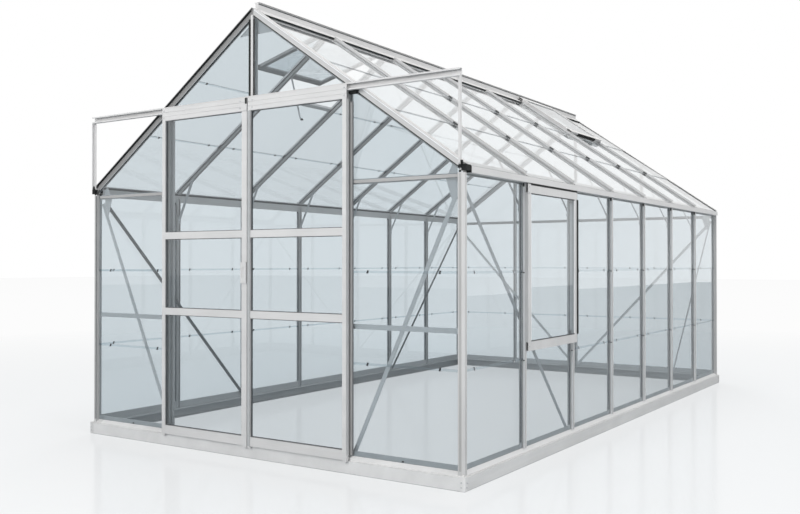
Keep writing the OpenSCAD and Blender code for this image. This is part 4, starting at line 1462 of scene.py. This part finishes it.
@dataclass
class SideWindow:
    """Gaskets, strips, a sheet of painted light, seals and bolts of the side window."""

    lines: HouseLines
    stile: float = 0.034
    rail: float = 0.046
    pane_out: float = 0.011
    gasket: float = 0.005
    gasket_deep: float = 0.0042
    liner: float = 0.001
    liner_short: float = 0.015
    flap_in: float = 0.006
    flap_out: float = 0.017
    head_drop: float = 0.006
    cover: float = 0.0018
    bolt_radius: float = 0.0035

    def build(self) -> None:
        """All pieces of the window."""
        low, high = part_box("side_window_frame")
        seat, band = low.x + self.pane_out + GAP, self.gasket
        x = seat, seat + self.gasket_deep
        y = low.y + self.stile + GAP, high.y - self.stile - GAP
        z = low.z + self.rail + 2 * GAP, high.z - self.rail - 2 * GAP
        inside = z[0] + band, z[1] - band
        level = [block("window_gasket", x, y, (foot, foot + band), GAP) for foot in (z[0], inside[1])]
        dress(joined(level, "side_window_gasket"), RUBBER_AND_SHADOW)
        nears = (y[0], y[1] - band)
        upright = [block("window_strip", x, (near, near + band), inside, GAP) for near in nears]
        dress(joined(upright, "side_window_strips"), GLAZING_STRIP_AND_LIGHT)
        self.far_liner(inside)
        self.seals(low, high)
        heights = (low.z + self.rail / 2, high.z - self.rail / 3, high.z - self.rail)
        places = [placed((high.x, low.y + self.stile / 3, height), (1, 0, 0)) for height in heights]
        spread(bolt(self.bolt_radius), "side_window_bolts", places, BOLT_STEEL)

    def far_liner(self, inside: Span) -> None:
        """A pale sheet that paints light on the shaded flank of the bar behind the far stile, over the
        opening's height.
        """
        lines = self.lines
        low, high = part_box("right_wall_bars")
        flank = lines.wall_bars[lines.window_bay - 1] - lines.bar_flange / 2 - GAP
        z = inside[0] + self.liner_short, inside[1] - self.liner_short
        # Painted light: a pale sheet over a flank that lies in shade.
        liner = block("side_window_liner", (low.x, high.x - GAP), (flank - self.liner, flank), z, GAP)
        dress(liner, GLAZING_STRIP_AND_LIGHT)

    def seals(self, low: Vector, high: Vector) -> None:
        """The dark flap on the far stile, the head seal and the drip over it.

        Args:
            low: Lowest corner of the window's frame.
            high: Its highest corner.
        """
        face, top = (high.x + GAP, high.x + self.cover), self.lines.gutter_z - GAP
        y, z = (high.y - self.flap_in, high.y + self.flap_out), (low.z + self.rail, high.z - self.rail)
        flap = block("window_flap", face, y, z, GAP)
        x, z = (low.x + self.cover, high.x - self.cover), (high.z + GAP, top)
        head = block("window_head_seal", x, (low.y, high.y), z, GAP)
        y, z = (low.y + self.stile, high.y), (high.z - self.head_drop, top)
        drip = block("window_drip", face, y, z, GAP)
        dress(joined([flap, head, drip], "side_window_seals"), BLACK)


@dataclass
class BaseTrim:
    """Rounded caps on the base's corners and a thin grey strip along its foot that paints the contact shade.
    """

    leg: float = 0.024
    thick: float = 0.0012
    stand_off: float = 0.0015
    bend: float = 0.0055
    bend_steps: int = 4
    foot_up: float = 0.0015
    over_top: float = 0.003
    strip: Span = (0.0006, 0.0026)

    def cap(self, height: float) -> Piece:
        """One cap along X, bent round an upright corner whose faces look along +Y and +Z."""
        out = self.stand_off + self.thick / 2
        middle = out - self.bend
        turns = [i * math.pi / 2 / self.bend_steps for i in range(self.bend_steps + 1)]
        arc = [(middle + self.bend * math.sin(turn), middle + self.bend * math.cos(turn)) for turn in turns]
        return bent_strip("base_cap", height, [(-self.leg, out), *arc, (out, -self.leg)], self.thick)

    def build(self) -> None:
        """Four caps, and the strips of painted contact shade along the four sides."""
        low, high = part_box("base_frame")
        top = high.z + self.over_top
        places = []
        for sx, x in ((-1, low.x), (1, high.x)):
            for sy, y in ((-1, low.y), (1, high.y)):
                turn = Matrix(((0, sx, 0), (0, 0, sy), (sx * sy, 0, 0))).to_4x4()
                places.append(Matrix.Translation((x, y, (top + self.foot_up) / 2)) @ turn)
        cap = self.cap(top - self.foot_up)
        spread(cap, "base_caps", places, BASE.along(Grain.ALONG_Z))
        out, up = self.strip
        runs = (
            ((low.x, high.x), (low.y - out, low.y)),
            ((low.x, high.x), (high.y, high.y + out)),
            ((low.x - out, low.x), (low.y, high.y)),
            ((high.x, high.x + out), (low.y, high.y)),
        )
        # Painted shade where the base meets the floor.
        strips = [block("foot_strip", x, y, (out / 2, up), out / 3) for x, y in runs]
        dress(joined(strips, "base_foot_strips"), PALE_RUBBER_AND_SHADE)


@dataclass
class Fasteners:
    """Bolts on the base's corner caps and on the knee stays."""

    lines: HouseLines
    knee_radius: float = 0.0055
    knee_up: float = 0.012
    inner_face: float = 0.0193
    base_radius: float = 0.004
    base_in: float = 0.0145
    base_out: float = 0.0027

    def build(self) -> None:
        """All bolts of the house."""
        self.base()
        self.knees()

    def base(self) -> None:
        """Two bolts, one above the other, on both faces of each corner cap."""
        low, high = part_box("base_frame")
        out, height = self.base_out, high.z - low.z
        places = []
        for z in (low.z + height / 3, low.z + height * 2 / 3):
            for x in (low.x + self.base_in, high.x - self.base_in):
                places.append(placed((x, low.y - out, z), (0, -1, 0)))
                places.append(placed((x, high.y + out, z), (0, 1, 0)))
            for y in (low.y + self.base_in, high.y - self.base_in):
                places.append(placed((low.x - out, y, z), (-1, 0, 0)))
                places.append(placed((high.x + out, y, z), (1, 0, 0)))
        spread(bolt(self.base_radius), "base_bolts", places, BOLT_STEEL)

    def knees(self) -> None:
        """One bolt through the lower tab of every knee stay, head inwards."""
        lines = self.lines
        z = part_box("knee_stays")[0].z + self.knee_up
        x = lines.half_width - lines.seat_in - self.inner_face
        places = [
            placed((side.value * x, y, z), (-side.value, 0, 0)) for side in Side for y in lines.wall_bars
        ]
        spread(bolt(self.knee_radius), "knee_bolts", places, BOLT_STEEL)


@dataclass(frozen=True)
class Softbox:
    """A square lamp that looks at the middle of the house."""

    name: str
    at: Point
    size: float
    watts: float
    aim: Point = (0.0, 0.0, 1.0)

    def hang(self) -> None:
        """Hangs the lamp, unseen in mirrors and through glass."""
        data = bpy.data.lights.new(self.name, "AREA")
        data.size = self.size
        data.energy = self.watts
        lamp = bpy.data.objects.new(self.name, data)
        bpy.context.scene.collection.objects.link(lamp)
        lamp.location = self.at
        lamp.rotation_euler = (Vector(self.aim) - Vector(self.at)).to_track_quat("-Z", "Y").to_euler()
        lamp.visible_glossy = False
        lamp.visible_transmission = False


@dataclass
class Studio:
    """Floor, world, lamps and camera."""

    camera_at: Point = (3.2517, -5.7208, 1.0178)
    camera_turn: float = 0.5818
    camera_lift: float = 0.0073
    camera_sight: float = 500.0
    lens_mm: float = 40.58
    floor_x: Span = (-55.0, 16.0)
    floor_reach: float = 55.0
    floor_paint: Colour = (0.66, 0.70, 0.725)
    floor_mirrored: Colour = (0.12, 0.13, 0.14)
    floor_gloss: float = 0.13
    gloss_rough: float = 0.12
    floor_glow: float = 0.68
    glow_run: Span = (2.5, 9.0)
    sky_tint: Colour = (0.97, 0.985, 1.0)
    sky_light: float = 0.36
    first_bounce: float = 0.5
    lamps: tuple[Softbox, ...] = (
        Softbox("front_softbox", (0.8, -12.0, 5.2), 6.0, 760.0),
        Softbox("side_softbox", (11.0, -3.0, 6.0), 6.0, 535.0),
        Softbox("back_softbox", (-6.0, 10.0, 5.0), 5.0, 650.0),
        Softbox("top_softbox", (1.0, 0.0, 10.0), 7.0, 500.0),
    )

    def build(self) -> None:
        """Sets up the whole studio."""
        bpy.context.scene.view_settings.view_transform = "Standard"
        self.floor()
        self.world()
        for lamp in self.lamps:
            lamp.hang()
        self.camera()

    def floor(self) -> None:
        """A wide pale floor that stays white to the camera and keeps the shadow."""
        left, right = self.floor_x
        floor = flat_start("studio_floor", right - left, 2 * self.floor_reach)
        with editing(floor):
            bpy.ops.transform.translate(value=((left + right) / 2, 0.0, 0.0))
        floor.data.materials.append(self.floor_material())

    def floor_material(self) -> bpy.types.Material:
        """Pale floor paint: white behind the object, greyer in reflections, with a faint gloss."""
        material = bpy.data.materials.new("studio_floor")
        material.use_nodes = True
        tree = material.node_tree
        tree.nodes.remove(tree.nodes["Principled BSDF"])
        paint = add_node(tree, "ShaderNodeBsdfDiffuse", {"Color": self.floor_paint})
        white = add_node(tree, "ShaderNodeEmission", {"Color": WHITE, "Strength": 1.0})
        grey = add_node(tree, "ShaderNodeEmission", {"Color": self.floor_mirrored})
        gloss = add_node(tree, "ShaderNodeBsdfGlossy", {"Roughness": self.gloss_rough})
        path = add_node(tree, "ShaderNodeLightPath", {})
        seen = seen_rays(tree, path)
        lit = mix_shaders(tree, maths(tree, "MULTIPLY", seen, self.far_glow(tree)), paint, white)
        polish = mix_shaders(tree, maths(tree, "MULTIPLY", seen, self.floor_gloss), lit, gloss)
        bounced = maths(tree, "SUBTRACT", path.outputs["Is Glossy Ray"], seen)
        mirrored = mix_shaders(tree, maths(tree, "MAXIMUM", bounced, 0.0), polish, grey)
        feed(tree, tree.nodes["Material Output"], {"Surface": mirrored.outputs[0]})
        return material

    def far_glow(self, tree: Tree) -> Socket:
        """How much of the floor is plain white, growing with the distance from the house."""
        where = add_node(tree, "ShaderNodeTexCoord", {})
        length = add_node(tree, "ShaderNodeVectorMath", {0: where.outputs["Object"]}, operation="LENGTH")
        values = {
            "Value": length.outputs["Value"], "From Min": self.glow_run[0], "From Max": self.glow_run[1],
            "To Min": self.floor_glow, "To Max": 1.0,
        }
        return add_node(tree, "ShaderNodeMapRange", values).outputs["Result"]

    def world(self) -> None:
        """Even sky light, and a white background where it is seen or mirrored."""
        world = bpy.data.worlds.new("studio_sky")
        bpy.context.scene.world = world
        world.use_nodes = True
        tree = world.node_tree
        sky = tree.nodes["Background"]
        feed(tree, sky, {"Color": self.sky_tint, "Strength": self.sky_light})
        white = add_node(tree, "ShaderNodeBackground", {"Color": WHITE, "Strength": 1.0})
        path = add_node(tree, "ShaderNodeLightPath", {})
        shown = maths(tree, "MAXIMUM", seen_rays(tree, path), path.outputs["Is Glossy Ray"])
        direct = maths(tree, "LESS_THAN", path.outputs["Diffuse Depth"], self.first_bounce)
        mix = mix_shaders(tree, maths(tree, "MULTIPLY", shown, direct), sky, white)
        feed(tree, tree.nodes["World Output"], {"Surface": mix.outputs[0]})

    def camera(self) -> None:
        """The camera at the photograph's viewpoint."""
        data = bpy.data.cameras.new("photo_camera")
        data.lens = self.lens_mm
        data.clip_end = self.camera_sight
        camera = bpy.data.objects.new("photo_camera", data)
        bpy.context.scene.collection.objects.link(camera)
        camera.location = self.camera_at
        camera.rotation_euler = (math.pi / 2 + self.camera_lift, 0.0, self.camera_turn)
        bpy.context.scene.camera = camera


def main() -> None:
    """Builds the sub-assemblies in order, then the studio."""
    logging.basicConfig(level=logging.INFO, format="%(name)s: %(message)s")
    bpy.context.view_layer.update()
    lines = HouseLines()
    PackedParts().dress()
    GlazingSeals(lines).build()
    RoofSeals(lines).build()
    LapClips(lines).build()
    GutterCaps(lines).build()
    DoorLeaf(lines, Side.LEFT, Body.LEFT_DOOR, meet_width=0.037).build()
    DoorLeaf(lines, Side.RIGHT, Body.RIGHT_DOOR, meet_width=0.018).build()
    DoorJambs(lines).build()
    VentStay().build()
    SideWindow(lines).build()
    BaseTrim().build()
    Fasteners(lines).build()
    Studio().build()


if __name__ == "__main__":
    main()
